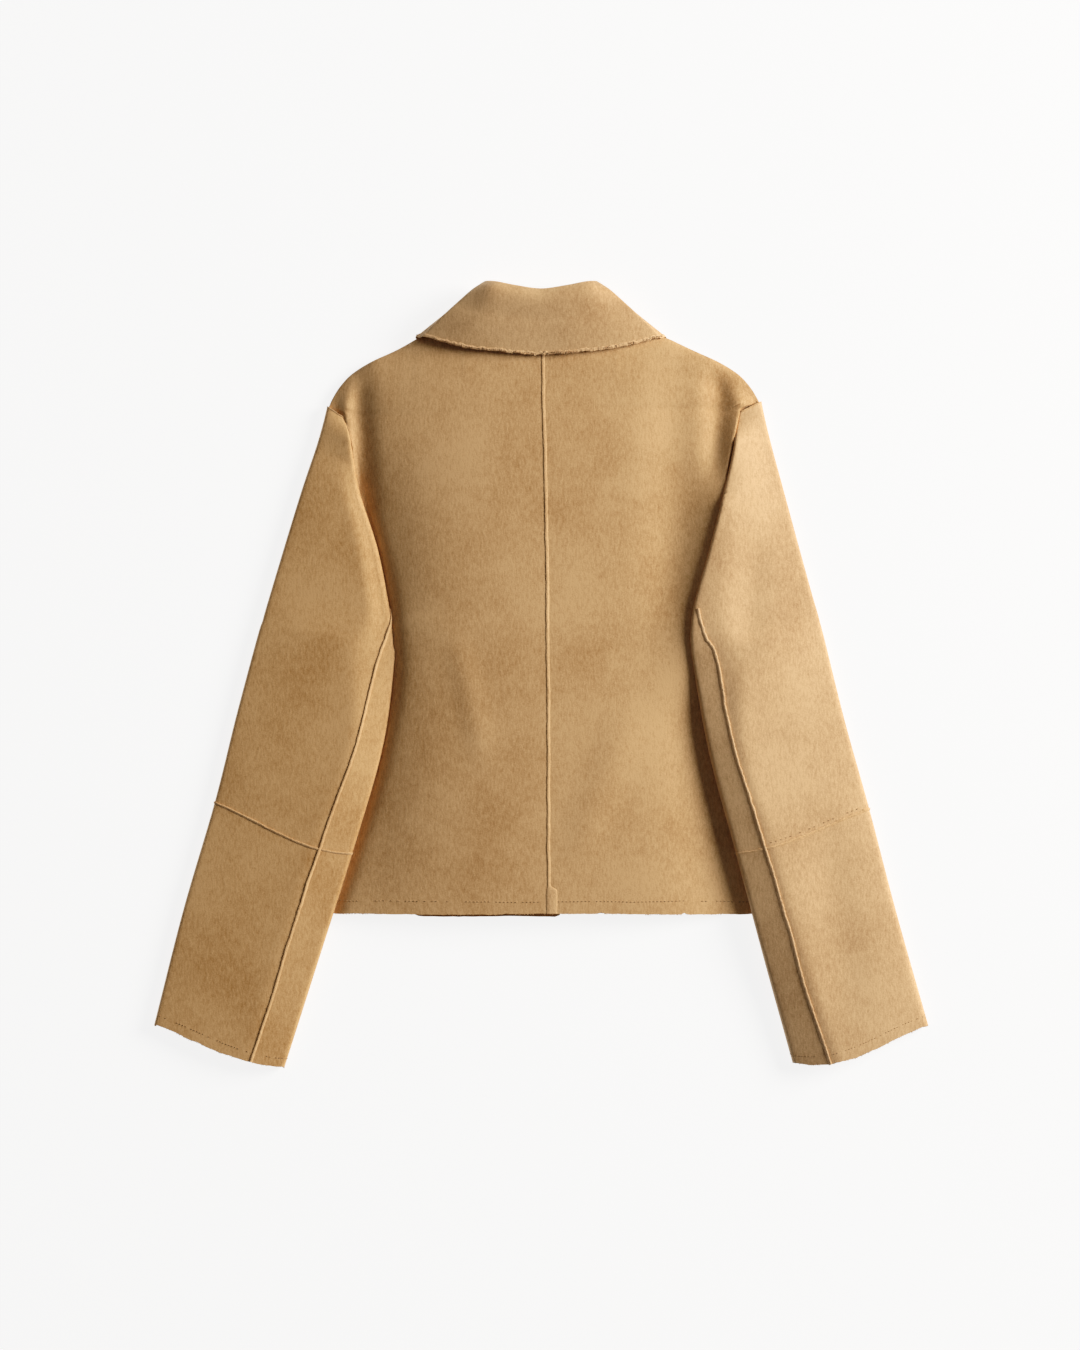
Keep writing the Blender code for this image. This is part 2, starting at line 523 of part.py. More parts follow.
def build_sleeve(side, material):
    """Two top sleeves and two under sleeves, upper and lower, cut from one tube at its seams."""
    seam = sum(SLEEVE_COLUMNS[:2])
    for part, at in (("upper", CAP_ROWS + ARM_ROWS[side]), ("lower", LOWER_ROWS)):
        tube = sleeve_rows(side, at)
        normals = grid_normals(tube, tube - tube.mean(axis=1, keepdims=True))
        closed = np.asarray(at) > UNDERARM_STATION
        normals[closed, 0] = normals[closed, -1] = (normals[closed, 0] + normals[closed, -1]) / 2
        normals[~closed, 0] = normals[~closed, -1] = (0.0, 0.0, -1.0)
        inner = tube - normals * CLOTH
        joined = "last_row" if part == "upper" else "first_row"
        start = len(CAP_ROWS) if part == "upper" else 0
        pieces = {
            "top": (slice(0, None), slice(seam, None), ["first_column", "last_column", joined]),
            "under": (
                slice(start, None), slice(0, seam + 1),
                ["first_column", "last_column", "first_row", joined],
            ),
        }
        for kind, (rows, columns, edges) in pieces.items():
            face, back = trim(tube[rows, columns], edges), trim(inner[rows, columns], edges)
            add_wall(f"sleeve_{side}_{kind}_{part}", face, back, material)


def collar_row(points):
    """Points of one collar row, up the stand, round the roll and down the fall."""
    at = np.append(0.0, np.cumsum(np.linalg.norm(np.diff(points, axis=0), axis=1)))
    marks = at[[0, 2, 4, 6]]
    wanted = [
        np.linspace(start, end, count, endpoint=False)
        for start, end, count in zip(marks[:-1], marks[1:], COLLAR_COLUMNS)
    ]
    return curve(np.append(np.concatenate(wanted), at[-1]), at, points)


def collar_grid(count):
    """Middle surface of the collar: rows round the neck, columns from the neck seam to the edge."""
    half = []
    for row in COLLAR:
        neck, roll, fall, edge, turn = (np.array(v) for v in row)
        inner_roll = roll + (neck - roll) * ROLL_SHARE - turn * TURN_SHARE
        outer_roll = roll + (fall - roll) * ROLL_SHARE + turn * TURN_SHARE
        half.append((neck, neck + (inner_roll - neck) * 0.5, inner_roll, roll, outer_roll, fall, edge))
    half = np.array(half)
    left = half[:0:-1] * (-1.0, 1.0, 1.0)
    control = np.concatenate((left, half))
    flat = control.reshape(len(control), -1)
    rows = curve(np.linspace(0, len(control) - 1, count), np.arange(len(control)), flat)
    rows = rows.reshape(count, -1, 3)
    grid = np.array([collar_row(row) for row in rows])
    grid[..., 2] = np.maximum(grid[..., 2], CLOTH / 2)
    return grid


def build_collar(material):
    middle = collar_grid(COLLAR_ROWS)
    normals = grid_normals(middle, (0, 1, 0))
    add_wall("collar", middle + normals * CLOTH / 2, middle - normals * CLOTH / 2, material)


def main():
    for item in list(bpy.data.objects):
        bpy.data.objects.remove(item, do_unlink=True)
    build_backs(suede("suede_back", 1.0))
    build_fronts(suede("suede_front", 0.9))
    for side in ("left", "right"):
        build_sleeve(side, suede(f"suede_sleeve_{side}", 1.08))
    build_collar(suede("suede_collar", 1.04))


main()
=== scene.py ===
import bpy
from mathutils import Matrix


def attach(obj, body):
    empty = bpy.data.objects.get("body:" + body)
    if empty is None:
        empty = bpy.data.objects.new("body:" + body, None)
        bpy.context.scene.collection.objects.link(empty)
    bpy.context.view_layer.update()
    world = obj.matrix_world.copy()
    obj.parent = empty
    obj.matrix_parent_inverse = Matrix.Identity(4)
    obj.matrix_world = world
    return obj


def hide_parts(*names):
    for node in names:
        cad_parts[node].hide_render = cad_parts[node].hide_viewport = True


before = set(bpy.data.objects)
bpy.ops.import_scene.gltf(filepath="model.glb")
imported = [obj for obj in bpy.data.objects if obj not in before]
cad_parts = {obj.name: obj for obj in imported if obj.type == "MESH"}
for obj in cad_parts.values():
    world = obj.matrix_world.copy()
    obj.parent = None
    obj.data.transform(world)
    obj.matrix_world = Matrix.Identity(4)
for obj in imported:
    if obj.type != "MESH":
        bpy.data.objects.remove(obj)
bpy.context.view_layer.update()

# A cropped suede jacket laid face down on a pale floor. +X is the wearer's right, +Y points to the collar and
# +Z out of the back. Tables and shape functions are in millimetres; make_mesh turns them into metres.

import math
from collections import namedtuple

import bpy
import numpy as np
from mathutils import Vector

MM = 0.001
CLOTH = 1.5  # thickness
SIDES = ("left", "right")

# --- the part's own shape

HEM_Y, UNDERARM_Y = -228, 50.6
TIP = {"left": (202.3, 253), "right": (208.1, 257)}  # x, y of the shoulder's end
SEAM_Z = 5.5  # height of the seams round the body
NECK_HALF = 74  # x of the neck points
NO_ROLL = 40  # added to a front's distance from an edge that isn't sewn
UNROLL = 22  # length over which a front's rolled side comes down flat
ROLL_BAND = 60  # reach of the shoulder's roll
SHOULDER_FALL = (30, 75)  # x over which the back's fall to its shoulder seam begins
DOME, DOME_EDGE = 2.2, 0.8  # powers that shape the back's dome and its sides
CENTRE_BACK = ((-228, 7.6), (52, 6.6), (203, 3.8), (332, 1.5))  # y, x
FRONT_EDGE = {"left": 18, "right": 19.5}  # x of the fronts' open edges
FRONT_ARMHOLE_GAP = 3.5
EDGE_BAND = 8
COLLAR_LIFT = 4.4  # of the fronts by the collar's ends
COLLAR_LIFT_REACH = (186, 160)  # distance from the neck's middle over which it ends
NECK_MIDDLE_Y = 335
BACK_CREST = (  # y, z
    (-228, 20.5), (-100, 24.5), (60, 27), (200, 27), (290, 24), (335, 21),
)
BACK_RIM = (  # y, z
    (-228, 5.5), (50, 5.5), (80, 8.5), (124, 12),
    (171, 14), (204, 13.5), (237, 10), (253, 6.5),
)
SHOULDER = (  # x, y
    (74, 338.5), (100, 327), (119, 318), (126.4, 313.7), (137.8, 307.6),
    (162.5, 296.2), (180.5, 284.8), (191, 273.6), (198.6, 261.5), (202.3, 253),
)
SHOULDER_SHIFT = {"left": 0, "right": 7.5}  # how much wider it is than the table
SHIFT_FROM, SHIFT_BAND = 90, 60
BACK_NECK = ((0, 332), (30, 332.6), (55, 334.5), (74, 338.5))  # x, y
FRONT_NECK = (  # x, y
    (0, 262), (20, 264), (40, 274), (55, 290), (66, 310), (72, 326), (74, 338.5),
)
HEAD_FOLD = {  # y, x of the line where a sleeve's head meets the back
    "left": ((170, 171.5), (203, 178.2), (228, 182), (243.6, 187.6), (254, 203.4)),
    "right": ((165, 171.5), (205.5, 181), (233, 185.5), (248.5, 189), (258.5, 211)),
}
TUCK, TUCK_SHARE = 6.5, 0.75  # of the back under a sleeve's head: depth, most share of its height
TUCK_BAND = (178, 206)  # y over which it begins
TUCK_END = {"left": (232, 212), "right": (254, 236)}  # y over which it ends
TUCK_EDGE = (0.4, 2.4)  # distance from the head's line, width
SIDE_SEAM = {"left": (228, 222), "right": (231, 225)}  # x at the hem and at the underarm
FOLD_VALLEY = {"left": (8, 5, 10.5), "right": (0, 7, 13)}  # depth, place past the fold, width
VALLEY_BAND = (225, 165)  # y over which it ends
LEAST_BACK = 3.4
RIM_FADE = (0.12, 0.08, 40)  # share of the width over which creases end, less above the underarm, reach
SHOULDER_FADE = 26  # distance from the shoulder over which they end

# Sections of a sleeve from the shoulder to the cuff. nose is the fold's reach, crest_in how far the crest is
# from it, split and seam are the distances to the split underneath and from the fold to the back seam.
Station = namedtuple(
    "Station", "outer_x outer_y fold_x fold_y bow split seam nose nose_z lean crest_in crest_z soft"
)
SLEEVE_LEFT = (
    (203.4, 254.6, 187.6, 243.6, 0, 13, -4.5, 1.8, 8, -6, 5.5, 7, 0.4),
    (208, 236, 182, 228, 0, 22.4, -4.5, 2.5, 11, -9, 8, 9.5, 0.4),
    (214.5, 214, 178.2, 203, 0, 34.6, -4.5, 4.5, 12.5, -10, 10, 12, 0.3),
    (226.5, 178.5, 171.5, 170, 0, 48.5, -5, 7, 13.5, -10, 12, 15, 0.3),
    (240, 135, 155, 118, 1, 56.5, -8, 8, 14.5, -9, 12, 17.5, 0.3),
    (256.5, 80, 144, 62, 2, 56.5, -0.5, 8.5, 14.5, -8, 16, 18.2, 0.3),
    (263, 58, 141, 36, 3, 41.5, 8.2, 7, 14, -2, 28, 19.2, 0.3),
    (265, 50.5, 140.4, 28, 3.2, 21, 11.8, 6, 14, 2, 34, 19.6, 0.3),
    (270, 35, 139.5, 10, 4, 22, 18.5, 5, 14, 6, 36, 20.2, 0.25),
    (290, -40, 150.5, -70, 6, 28, 30, 4, 14, 12, 28, 21.7, 0.06),
    (310.6, -122.5, 179.6, -171, 7.5, 40, 36, 3.5, 15, 12, 35, 20.5, 0.04),
    (340.5, -225, 211.5, -271.8, 6, 50, 36.7, 3.5, 13, 10, 35.5, 18, 0.04),
    (368, -333.5, 244.2, -374.3, 5.5, 48, 36.7, 3.5, 11.5, 8, 35.5, 15.5, 0.04),
)
SLEEVE_RIGHT = (
    (209.8, 259, 189, 249, 0, 16.5, -4.5, 1.8, 9, -6, 8, 9, 0.5),
    (213.8, 240, 185.5, 233, 0, 22.5, -4.5, 2.6, 14, -6, 12, 14.4, 0.5),
    (220.5, 213, 181, 205.5, 0, 36, -4.5, 3, 19.8, -6, 14, 20, 0.5),
    (229.5, 180, 171.5, 165, 0, 50, -5, 3.6, 27, -8, 16, 27, 0.4),
    (242.5, 132, 158, 112, 1, 57, -8.5, 4.2, 31.5, -8, 18, 31.5, 0.3),
    (256.5, 81, 144.6, 64, 2, 53, 5.9, 4.8, 32, -4, 26, 32.5, 0.3),
    (263.5, 57, 141.6, 35, 3, 38.8, 16.6, 5, 30, 3, 38, 32.3, 0.35),
    (265.4, 49.5, 142.2, 28, 3.2, 20, 20.3, 6, 29.5, 4, 44, 32.5, 0.35),
    (269.8, 33, 144, 12, 3.5, 20.5, 25.1, 5, 28.5, 8, 48, 33, 0.3),
    (289.2, -45, 159.1, -73, 4, 27, 30.7, 4, 27, 12, 32, 33, 0.06),
    (312.5, -128.7, 185.3, -171, 4.7, 40, 34.9, 3.5, 24, 12, 34, 31, 0.04),
    (338.2, -227, 212, -271, 7, 50, 36.9, 3.5, 19, 12, 36, 27, 0.04),
    (368.6, -334.4, 239.4, -369.6, 11, 48, 41.9, 3.5, 13, 12, 41, 22.5, 0.04),
)
SLEEVE = {"left": SLEEVE_LEFT, "right": SLEEVE_RIGHT}
UNDER_FROM, UNDER_FULL = 2.7, 3.3  # stations between which the under sleeve opens out of the armhole
UNDERARM_STATION = 6
ELBOW = 10
OPENS = 0.5  # stations over which the split closes
LAY_GAP = 0.7  # between a sleeve and the back under it
SEAM_SINK, SINK_BAND = 2.4, 8  # of the split's edge: depth, reach
NOSE_SHARE, OUTER_SHARE, OUTER_HALF_SHARE = 0.3, 0.3, 0.4  # of a section's width, at most
SPLIT_MARGIN = 0.2
MOST_TURN = math.radians(56)
LEAST_NOSE = (2.5, 5.4)  # at the shoulder, further down
NOSE_GROWS = 2  # stations between the two
HEAD_SINK = {"left": (3.6, 1.3), "right": (2.5, 1)}  # of the shoulder's end: depth, stations
OUTER_REACH = {"left": 2.4, "right": 9}
OUTER_HALF = 5.5
OUTER_LEAN = math.radians(14)
EDGE_INSET = 5  # how far inside the body's edge a sleeve beyond it takes its height
SIDE_STEP = (2, 20)  # distance past the side seam over which a sleeve comes down
HEM_STEP = (8, 85)  # the same past the hem
BOW_PEAK = 27 / 4  # of f * f * (1 - f), upside down
BELLY, BELLY_POWER, BELLY_WIDTH = 4, 1.5, 120
CREASE_FADE = 0.15  # share of a sleeve's top over which its creases end
BLEND, BLEND_SHARE = 8, 0.8  # reach of the rounding where the top joins its edges
CREST_SHARE = (0.05, 0.6)
LEAST_SOFT = 0.05
BOTTOM_POINTS, FOLD_POINTS, TOP_POINTS, OUTER_POINTS, FLOOR_POINTS = 70, 44, 142, 30, 40  # of a section
TURN_WEIGHT = 1.2  # draws points to where a section turns
SLEEVE_COLUMNS = (14, 28, 76, 14)  # underneath, to the seam, to the outer edge, to the split
UNDER_COLUMNS = sum(SLEEVE_COLUMNS[:2])
BOTTOM_SHARE = 0.95

ROLL_SHARE, TURN_SHARE = 0.12, 0.8  # how far the collar's two faces stand off the roll line
# How much higher the left side lies, row by row from the second, and the share of it along a row.
LEFT_RISE = (1, 3.2, 4.6, 4, 2, 0, 0, 0, 0)
LEFT_SHARE = np.array((0, 0.1, 0.2, 0.4, 0.6, 1, 1.2))
COLLAR = (  # rows from the centre back to a front end: neck seam, roll, fall, raw edge, the roll's turn
    ((0, 335, 21.5), (0, 365.2, 31), (0, 334, 33), (0, 305, 28), (0, 0, 4)),
    ((28, 335.8, 21.2), (24, 368.4, 30), (31, 337, 32.6), (40, 307.8, 27.5), (0, 0.4, 4)),
    ((52, 338.4, 19), (42, 372, 27), (58, 341, 29.5), (80, 313.2, 23), (0.6, 1.2, 3.8)),
    ((69, 343, 15), (51, 372.8, 19.5), (81, 347.8, 23), (107, 320.6, 17), (0.5, 0.7, 2.6)),
    ((70.5, 343, 13.5), (53.5, 371.8, 16), (84.5, 346.4, 20), (113.5, 320.6, 14), (0.7, 0.8, 0.8)),
    ((71, 343, 10.8), (54.5, 370.5, 11), (86.5, 345.2, 12), (117, 320.6, 9), (0.8, 0.8, -0.6)),
    ((69, 330.5, 6.6), (54, 359, 5.4), (86, 339.5, 3), (113, 310, 2), (0.4, 0.3, -2.2)),
    ((61.5, 312, 5.8), (45, 333, 3.4), (84, 305, 1), (120, 276, 1), (0, 0, -2.5)),
    ((45, 288, 5.8), (30, 304, 3.4), (64, 265, 1), (100, 232, 1), (0, 0, -2.5)),
    ((21, 270.5, 5.8), (11, 279, 3.4), (34, 240, 1), (66, 198, 1), (0, 0, -2.5)),
)

# --- creases

# Soft ridges (high > 0) and troughs (high < 0) that fade out at both ends. bend is sideways, in the middle.
Crease = namedtuple("Crease", "x0 y0 x1 y1 bend wide high")
BACK_CREASES = [Crease(*row) for row in (
    (-180, 300, -212, -330, 22, 44, -9.5),
    (-180, -20, -200, -420, 0, 40, 3),
    (-176.5, 308, -163, 110, 0, 11.5, -4.6),
    (-189.5, 302, -181, 170, 0, 8, 4.5),
    (232, 330, 128, -60, 0, 32, 9),
    (207, 235, 160, 20, 0, 30, 3.5),
    (212, 325, 180, 170, 0, 13, 3.5),
    (171, 325, 164.5, 170, 0, 12, -5.6),
    (130, 330, 122, 20, 0, 26, -4),
    (150, 60, 188, -330, -5, 40, -6),
    (94, -15, 24, -196, 0, 19, 1.6),
    (-60, 400, -60, -480, 0, 90, 2.5),
    (-88, 52, -54, -100, 4, 13, 1.3),
)]
SLEEVE_CREASES = [Crease(*row) for row in (
    (205, 150, 191, -20, 0, 15, -2.4),
    (256, -100, 295, -370, 4, 23, -2.6),
)]
CREASE_END = 0.35  # share of its length over which a crease rises


def creased(table, x, y):
    """Height that the creases of a table add at a place."""
    total = np.zeros(np.broadcast(x, y).shape)
    for c in table:
        run = np.array((c.x1 - c.x0, c.y1 - c.y0), float)
        length = np.linalg.norm(run)
        run /= length
        t = ((x - c.x0) * run[0] + (y - c.y0) * run[1]) / length
        off = -(x - c.x0) * run[1] + (y - c.y0) * run[0] - c.bend * 4 * t * (1 - t)
        shape = c.high * np.exp(-((off / c.wide) ** 2))
        total = total + shape * step(t / CREASE_END) * step((1 - t) / CREASE_END)
    return total


# --- curves


def step(t):
    """0 up to t = 0, 1 from t = 1, and smooth between them."""
    t = np.clip(t, 0, 1)
    return t * t * (3 - 2 * t)


def fade(x, start, end):
    """The same step over a band; its end may be less than its start."""
    return step((x - start) / (end - start))


def curve(x, knots, values, slopes=None):
    """Smooth curve through the values at the knots, numbers or rows of them."""
    x, knots, values = (np.asarray(a, float) for a in (x, knots, values))
    slopes = np.gradient(values, knots, axis=0) if slopes is None else slopes
    i = np.clip(np.searchsorted(knots, x, side="right") - 1, 0, len(knots) - 2)
    width = knots[i + 1] - knots[i]
    t = np.clip((x - knots[i]) / width, 0, 1)
    if values.ndim > 1:
        t, width = t[..., None], width[..., None]
    a = (1 + 2 * t) * (1 - t) ** 2 * values[i] + t * t * (3 - 2 * t) * values[i + 1]
    return a + width * t * (1 - t) * ((1 - t) * slopes[i] - t * slopes[i + 1])


def level_slopes(knots, values):
    """Slopes at the knots that never overshoot a value."""
    legs = np.diff(values) / np.diff(knots)
    before, after = legs[:-1], legs[1:]
    inner = np.where(before * after > 0, 2 * before * after / (before + after + 1e-12), 0)
    return np.concatenate((legs[:1], inner, legs[-1:]))


def table_curve(x, table):
    """Smooth curve through a table of pairs, without overshoot."""
    knots, values = np.array(table).T
    return curve(x, knots, values, level_slopes(knots, values))


def higher(a, b, ease=1.5):
    """The greater of two heights with a soft change between them."""
    return (a + b + np.hypot(a - b, ease)) / 2


def quarter(t):
    """Quarter circle: rises steeply from 0 and flattens to 1 at t = 1."""
    return np.sqrt(1 - (1 - np.clip(t, 0, 1)) ** 2)


def sign(side):
    return -1 if side == "left" else 1


def noise_line(seed, at, *waves):
    """Smooth random wobble along a line: one (length, size) pair for each layer."""
    rng = np.random.default_rng(seed)
    total = np.zeros_like(at)
    for length, size in waves:
        knots = np.arange(at.min() - length, at.max() + 2 * length, length)
        total += curve(at, knots, rng.uniform(-size, size, len(knots)))
    return total


def distances(points):
    """Distance along a line at each of its points."""
    return np.append(0, np.cumsum(np.linalg.norm(np.diff(points, axis=0), axis=1)))


def between(where, at, points):
    """Places on a line by their distance along it; at holds the distances of its points."""
    return np.stack([np.interp(where, at, points[:, k]) for k in range(3)], axis=-1)


def unit(vectors):
    return vectors / np.linalg.norm(vectors, axis=-1)[..., None]


# --- body heights and outlines


def stations(side, at):
    """The sleeve table's rows at any stations, smooth between its own."""
    return curve(at, np.arange(len(SLEEVE[side])), np.array(SLEEVE[side], float))


def armhole_table(side):
    """y and x of an armhole: where the sleeve's sections are split."""
    rows = stations(side, np.linspace(UNDERARM_STATION, 0, 25))
    across = rows[:, 2:4] - rows[:, 0:2]
    width = np.linalg.norm(across, axis=1)
    points = rows[:, 0:2] + across * (rows[:, 5] / width)[:, None]
    return np.append(points[:, 1], TIP[side][1]), np.append(points[:, 0], TIP[side][0])


ARMHOLE = {side: armhole_table(side) for side in SLEEVE}
ARMHOLE_SLOPES = {side: level_slopes(*ARMHOLE[side]) for side in SLEEVE}


def half_width(side, y):
    """Distance from the middle to the side seam or the armhole."""
    at_hem, at_underarm = SIDE_SEAM[side]
    share = (np.asarray(y, float) - HEM_Y) / (UNDERARM_Y - HEM_Y)
    seam = at_hem + (at_underarm - at_hem) * np.clip(share, 0, 1)
    knots, values = ARMHOLE[side]
    return np.where(y < knots[0], seam, curve(y, knots, values, ARMHOLE_SLOPES[side]))


def shoulder_y(side, x):
    x = np.abs(x)
    return table_curve(x - SHOULDER_SHIFT[side] * step((x - SHIFT_FROM) / SHIFT_BAND), SHOULDER)


def shoulder_normal(side, x):
    """Outward direction of the shoulder seam, across and along."""
    x = np.abs(x)
    fall = np.maximum(shoulder_y(side, x - 0.5) - shoulder_y(side, x + 0.5), 0)
    return fall / np.hypot(1, fall), 1 / np.hypot(1, fall)


def top_y(side, x, neck):
    """y of a panel's neckline and shoulder seam."""
    return np.where(np.abs(x) < NECK_HALF, table_curve(np.abs(x), neck), shoulder_y(side, x))


def lift(x, y):
    """How far the collar's front ends lift the fronts."""
    return COLLAR_LIFT * fade(np.hypot(x, y - NECK_MIDDLE_Y), *COLLAR_LIFT_REACH)


def fold_x(side, y):
    """Distance from the middle to the fold of the sleeve that lies over the back."""
    rows = np.array(SLEEVE[side], float)[::-1]
    return curve(y, rows[:, 3], rows[:, 2], level_slopes(rows[:, 3], rows[:, 2]))


def back_height(side, x, y):
    """Height of the back's outer face: a dome, rolled at the shoulder, creased and tucked."""
    across = np.clip(np.abs(x) / half_width(side, y), 0, 1)
    rim = table_curve(y, BACK_RIM)
    z = rim + (table_curve(y, BACK_CREST) - rim) * (1 - across**DOME) ** DOME_EDGE
    to_shoulder = np.maximum((shoulder_y(side, x) - y) * shoulder_normal(side, x)[1], 0)
    fall = fade(np.abs(x), *SHOULDER_FALL) * (1 - quarter(to_shoulder / ROLL_BAND))
    near_edge = RIM_FADE[0] - RIM_FADE[1] * step((y - UNDERARM_Y) / RIM_FADE[2])
    seam_z = SEAM_Z + lift(x, y)
    z = seam_z + (np.maximum(z, seam_z) - seam_z) * (1 - fall)
    z = z + creased(BACK_CREASES, x, y) * step((1 - across) / near_edge) * step(to_shoulder / SHOULDER_FADE)
    depth, place, wide = FOLD_VALLEY[side]
    beyond = np.abs(x) - fold_x(side, y) - place
    z = z - depth * np.exp(-((beyond / wide) ** 2)) * fade(y, *VALLEY_BAND)
    z = higher(z, LEAST_BACK)
    under = step((np.abs(x) - table_curve(y, HEAD_FOLD[side]) + TUCK_EDGE[0]) / TUCK_EDGE[1])
    under = under * fade(y, *TUCK_BAND) * fade(y, *TUCK_END[side])
    return z - under * np.minimum(TUCK, TUCK_SHARE * (z - seam_z))


def front_height(side, x, y):
    """Height of a front's outer face: flat, rolled up at its seams and over the collar."""
    to_side = half_width(side, y) - np.abs(x) + NO_ROLL * step((y - UNDERARM_Y) / UNROLL)
    to_shoulder = (shoulder_y(side, x) - y) * shoulder_normal(side, x)[1]
    to_shoulder = to_shoulder + NO_ROLL * step((NECK_HALF - np.abs(x)) / EDGE_BAND)
    near = np.maximum(np.minimum(to_side, to_shoulder), 0)
    return lift(x, y) + SEAM_Z * (1 - quarter(near / SEAM_Z))


# --- sleeve sections


def lay_height(side, x, y):
    """Height a sleeve lies at: on the back, and down to the floor past the side and the hem."""
    width = half_width(side, y)
    inside = np.minimum(np.abs(x), width - EDGE_INSET)
    top = back_height(side, sign(side) * inside, np.maximum(y, HEM_Y)) + LAY_GAP
    past_side = fade(np.abs(x) - width, *SIDE_STEP)
    past_hem = fade(HEM_Y - y, *HEM_STEP)
    return top * (1 - past_side) * (1 - past_hem)


def blended(along, z):
    """Heights along a section, averaged over a short reach that shrinks to nothing at both ends."""
    room = np.minimum(along[0] - along, along - along[-1])
    reach = np.minimum(BLEND, BLEND_SHARE * np.maximum(room, 0))
    weights = [(k / 4, 5 - abs(k)) for k in range(-4, 5)]
    total = sum(weight * np.interp(-(along + share * reach), -along, z) for share, weight in weights)
    return total / sum(weight for _, weight in weights)


def top_heights(row, width, top_along, fold_end, outer_end):
    """Heights over a sleeve's top, a soft crest with a low belly, and the share of the way across."""
    share = (fold_end[0] - top_along) / (fold_end[0] - outer_end[0])
    base = fold_end[1] + (outer_end[1] - fold_end[1]) * share
    crest = (fold_end[0] - (width - row.crest_in)) / (fold_end[0] - outer_end[0])
    crest = np.clip(crest, *CREST_SHARE)
    rise = higher(row.crest_z - (fold_end[1] + (outer_end[1] - fold_end[1]) * crest), 0)
    up, away = share / crest, (1 - share) / (1 - crest)
    soft = max(row.soft, LEAST_SOFT)
    peak = 0.5 * (up + away - np.sqrt((up - away) ** 2 + soft**2))
    near, far = ((end - math.hypot(end, soft)) / 2 for end in (1 / (1 - crest), 1 / crest))
    peak = (peak - near * (1 - share) - far * share) / (1 - soft / 2)
    fall = np.clip(away, 0, 1)
    belly = BELLY * fall * (1 - fall) ** BELLY_POWER * step(width / BELLY_WIDTH)
    return base + rise * peak + belly, share


def seam_distance(side, station, row, tip):
    """Distance round a section to the back seam; tip is the fold's."""
    if station < UNDER_FULL:
        row = Station(*stations(side, UNDER_FULL))
    return max(tip + row.seam, 0) * fade(station, UNDER_FROM, UNDER_FULL)


def section(side, station):
    """Points round a sleeve's outer face from the split underneath, with their distances and the marks'."""
    row = Station(*stations(side, station))
    outer = np.array((row.outer_x, row.outer_y))
    across = np.array((row.fold_x, row.fold_y)) - outer
    width = np.linalg.norm(across)
    down = np.array((across[1], -across[0])) / width
    down *= -math.copysign(1, down[1])

    def plan(along):
        f = np.asarray(along, float)[:, None] / width
        return outer + across * f + down * row.bow * BOW_PEAK * f * f * (1 - f)

    def lay(along):
        points = plan(along)
        return lay_height(side, points[:, 0], points[:, 1])

    nose = min(row.nose, NOSE_SHARE * width)
    reach = min(OUTER_REACH[side], OUTER_SHARE * width)
    split = min(row.split, width - nose - SPLIT_MARGIN)

    inner_bottom = np.linspace(split, width - nose, BOTTOM_POINTS)
    bottom_z = lay(inner_bottom)
    open_side = step((UNDERARM_STATION - station) / OPENS)
    bottom_z -= open_side * SEAM_SINK * (1 - np.clip((inner_bottom - split) / SINK_BAND, 0, 1)) ** 2
    sink, sink_end = HEAD_SINK[side]
    bottom_z -= sink * (1 - step(station / sink_end))
    least = LEAST_NOSE[0] + (LEAST_NOSE[1] - LEAST_NOSE[0]) * step(station / NOSE_GROWS)
    half = higher(row.nose_z - bottom_z[-1], least) / 2
    past_top = min(math.atan(-math.tan(math.radians(row.lean)) * nose / half), MOST_TURN)
    turn = np.linspace(-math.pi / 2, math.pi / 2 + past_top, FOLD_POINTS)[1:]
    fold_along = width - nose + nose * np.cos(turn)
    fold_top = bottom_z[-1] + half * (1 + np.sin(turn))

    outer_half = min(OUTER_HALF, OUTER_HALF_SHARE * width)
    outer_turn = np.linspace(math.pi / 2 + OUTER_LEAN, 3 * math.pi / 2, OUTER_POINTS)
    outer_along = reach + reach * np.cos(outer_turn)
    outer_top = outer_half * (1 + np.sin(outer_turn))

    top_along = np.linspace(fold_along[-1], outer_along[0], TOP_POINTS)[1:-1]
    fold_end, outer_end = (fold_along[-1], fold_top[-1]), (outer_along[0], outer_top[0])
    top_z, share = top_heights(row, width, top_along, fold_end, outer_end)
    spot = plan(top_along)
    creases = creased(SLEEVE_CREASES, sign(side) * spot[:, 0], spot[:, 1])
    top_z += creases * step(share / CREASE_FADE) * step((1 - share) / CREASE_FADE)

    over, outer_over = turn > 0, outer_turn < math.pi
    join_along = np.concatenate((fold_along[over], top_along, outer_along[outer_over]))
    join_z = blended(join_along, np.concatenate((fold_top[over], top_z, outer_top[outer_over])))
    first, last = int(over.sum()), int(over.sum()) + len(top_along)
    fold_top = np.append(fold_top[~over], join_z[:first])
    top_z = join_z[first:last]
    outer_top[outer_over] = join_z[last:]

    outer_bottom = np.linspace(reach, split, FLOOR_POINTS)[1:]
    floor_z = lay(outer_bottom) * step((station - UNDERARM_STATION) / OPENS)

    along = np.concatenate((inner_bottom, fold_along, top_along, outer_along, outer_bottom))
    z = np.concatenate((bottom_z, fold_top, top_z, outer_top, floor_z))
    points = np.column_stack((plan(along), z))
    points[:, 0] *= sign(side)

    at = distances(points)
    seam = seam_distance(side, station, row, at[int(np.argmax(along))])
    bottom = min(at[len(inner_bottom) - 1], BOTTOM_SHARE * seam)
    return points, at, (0, bottom, seam, at[int(np.argmin(along))], at[-1])


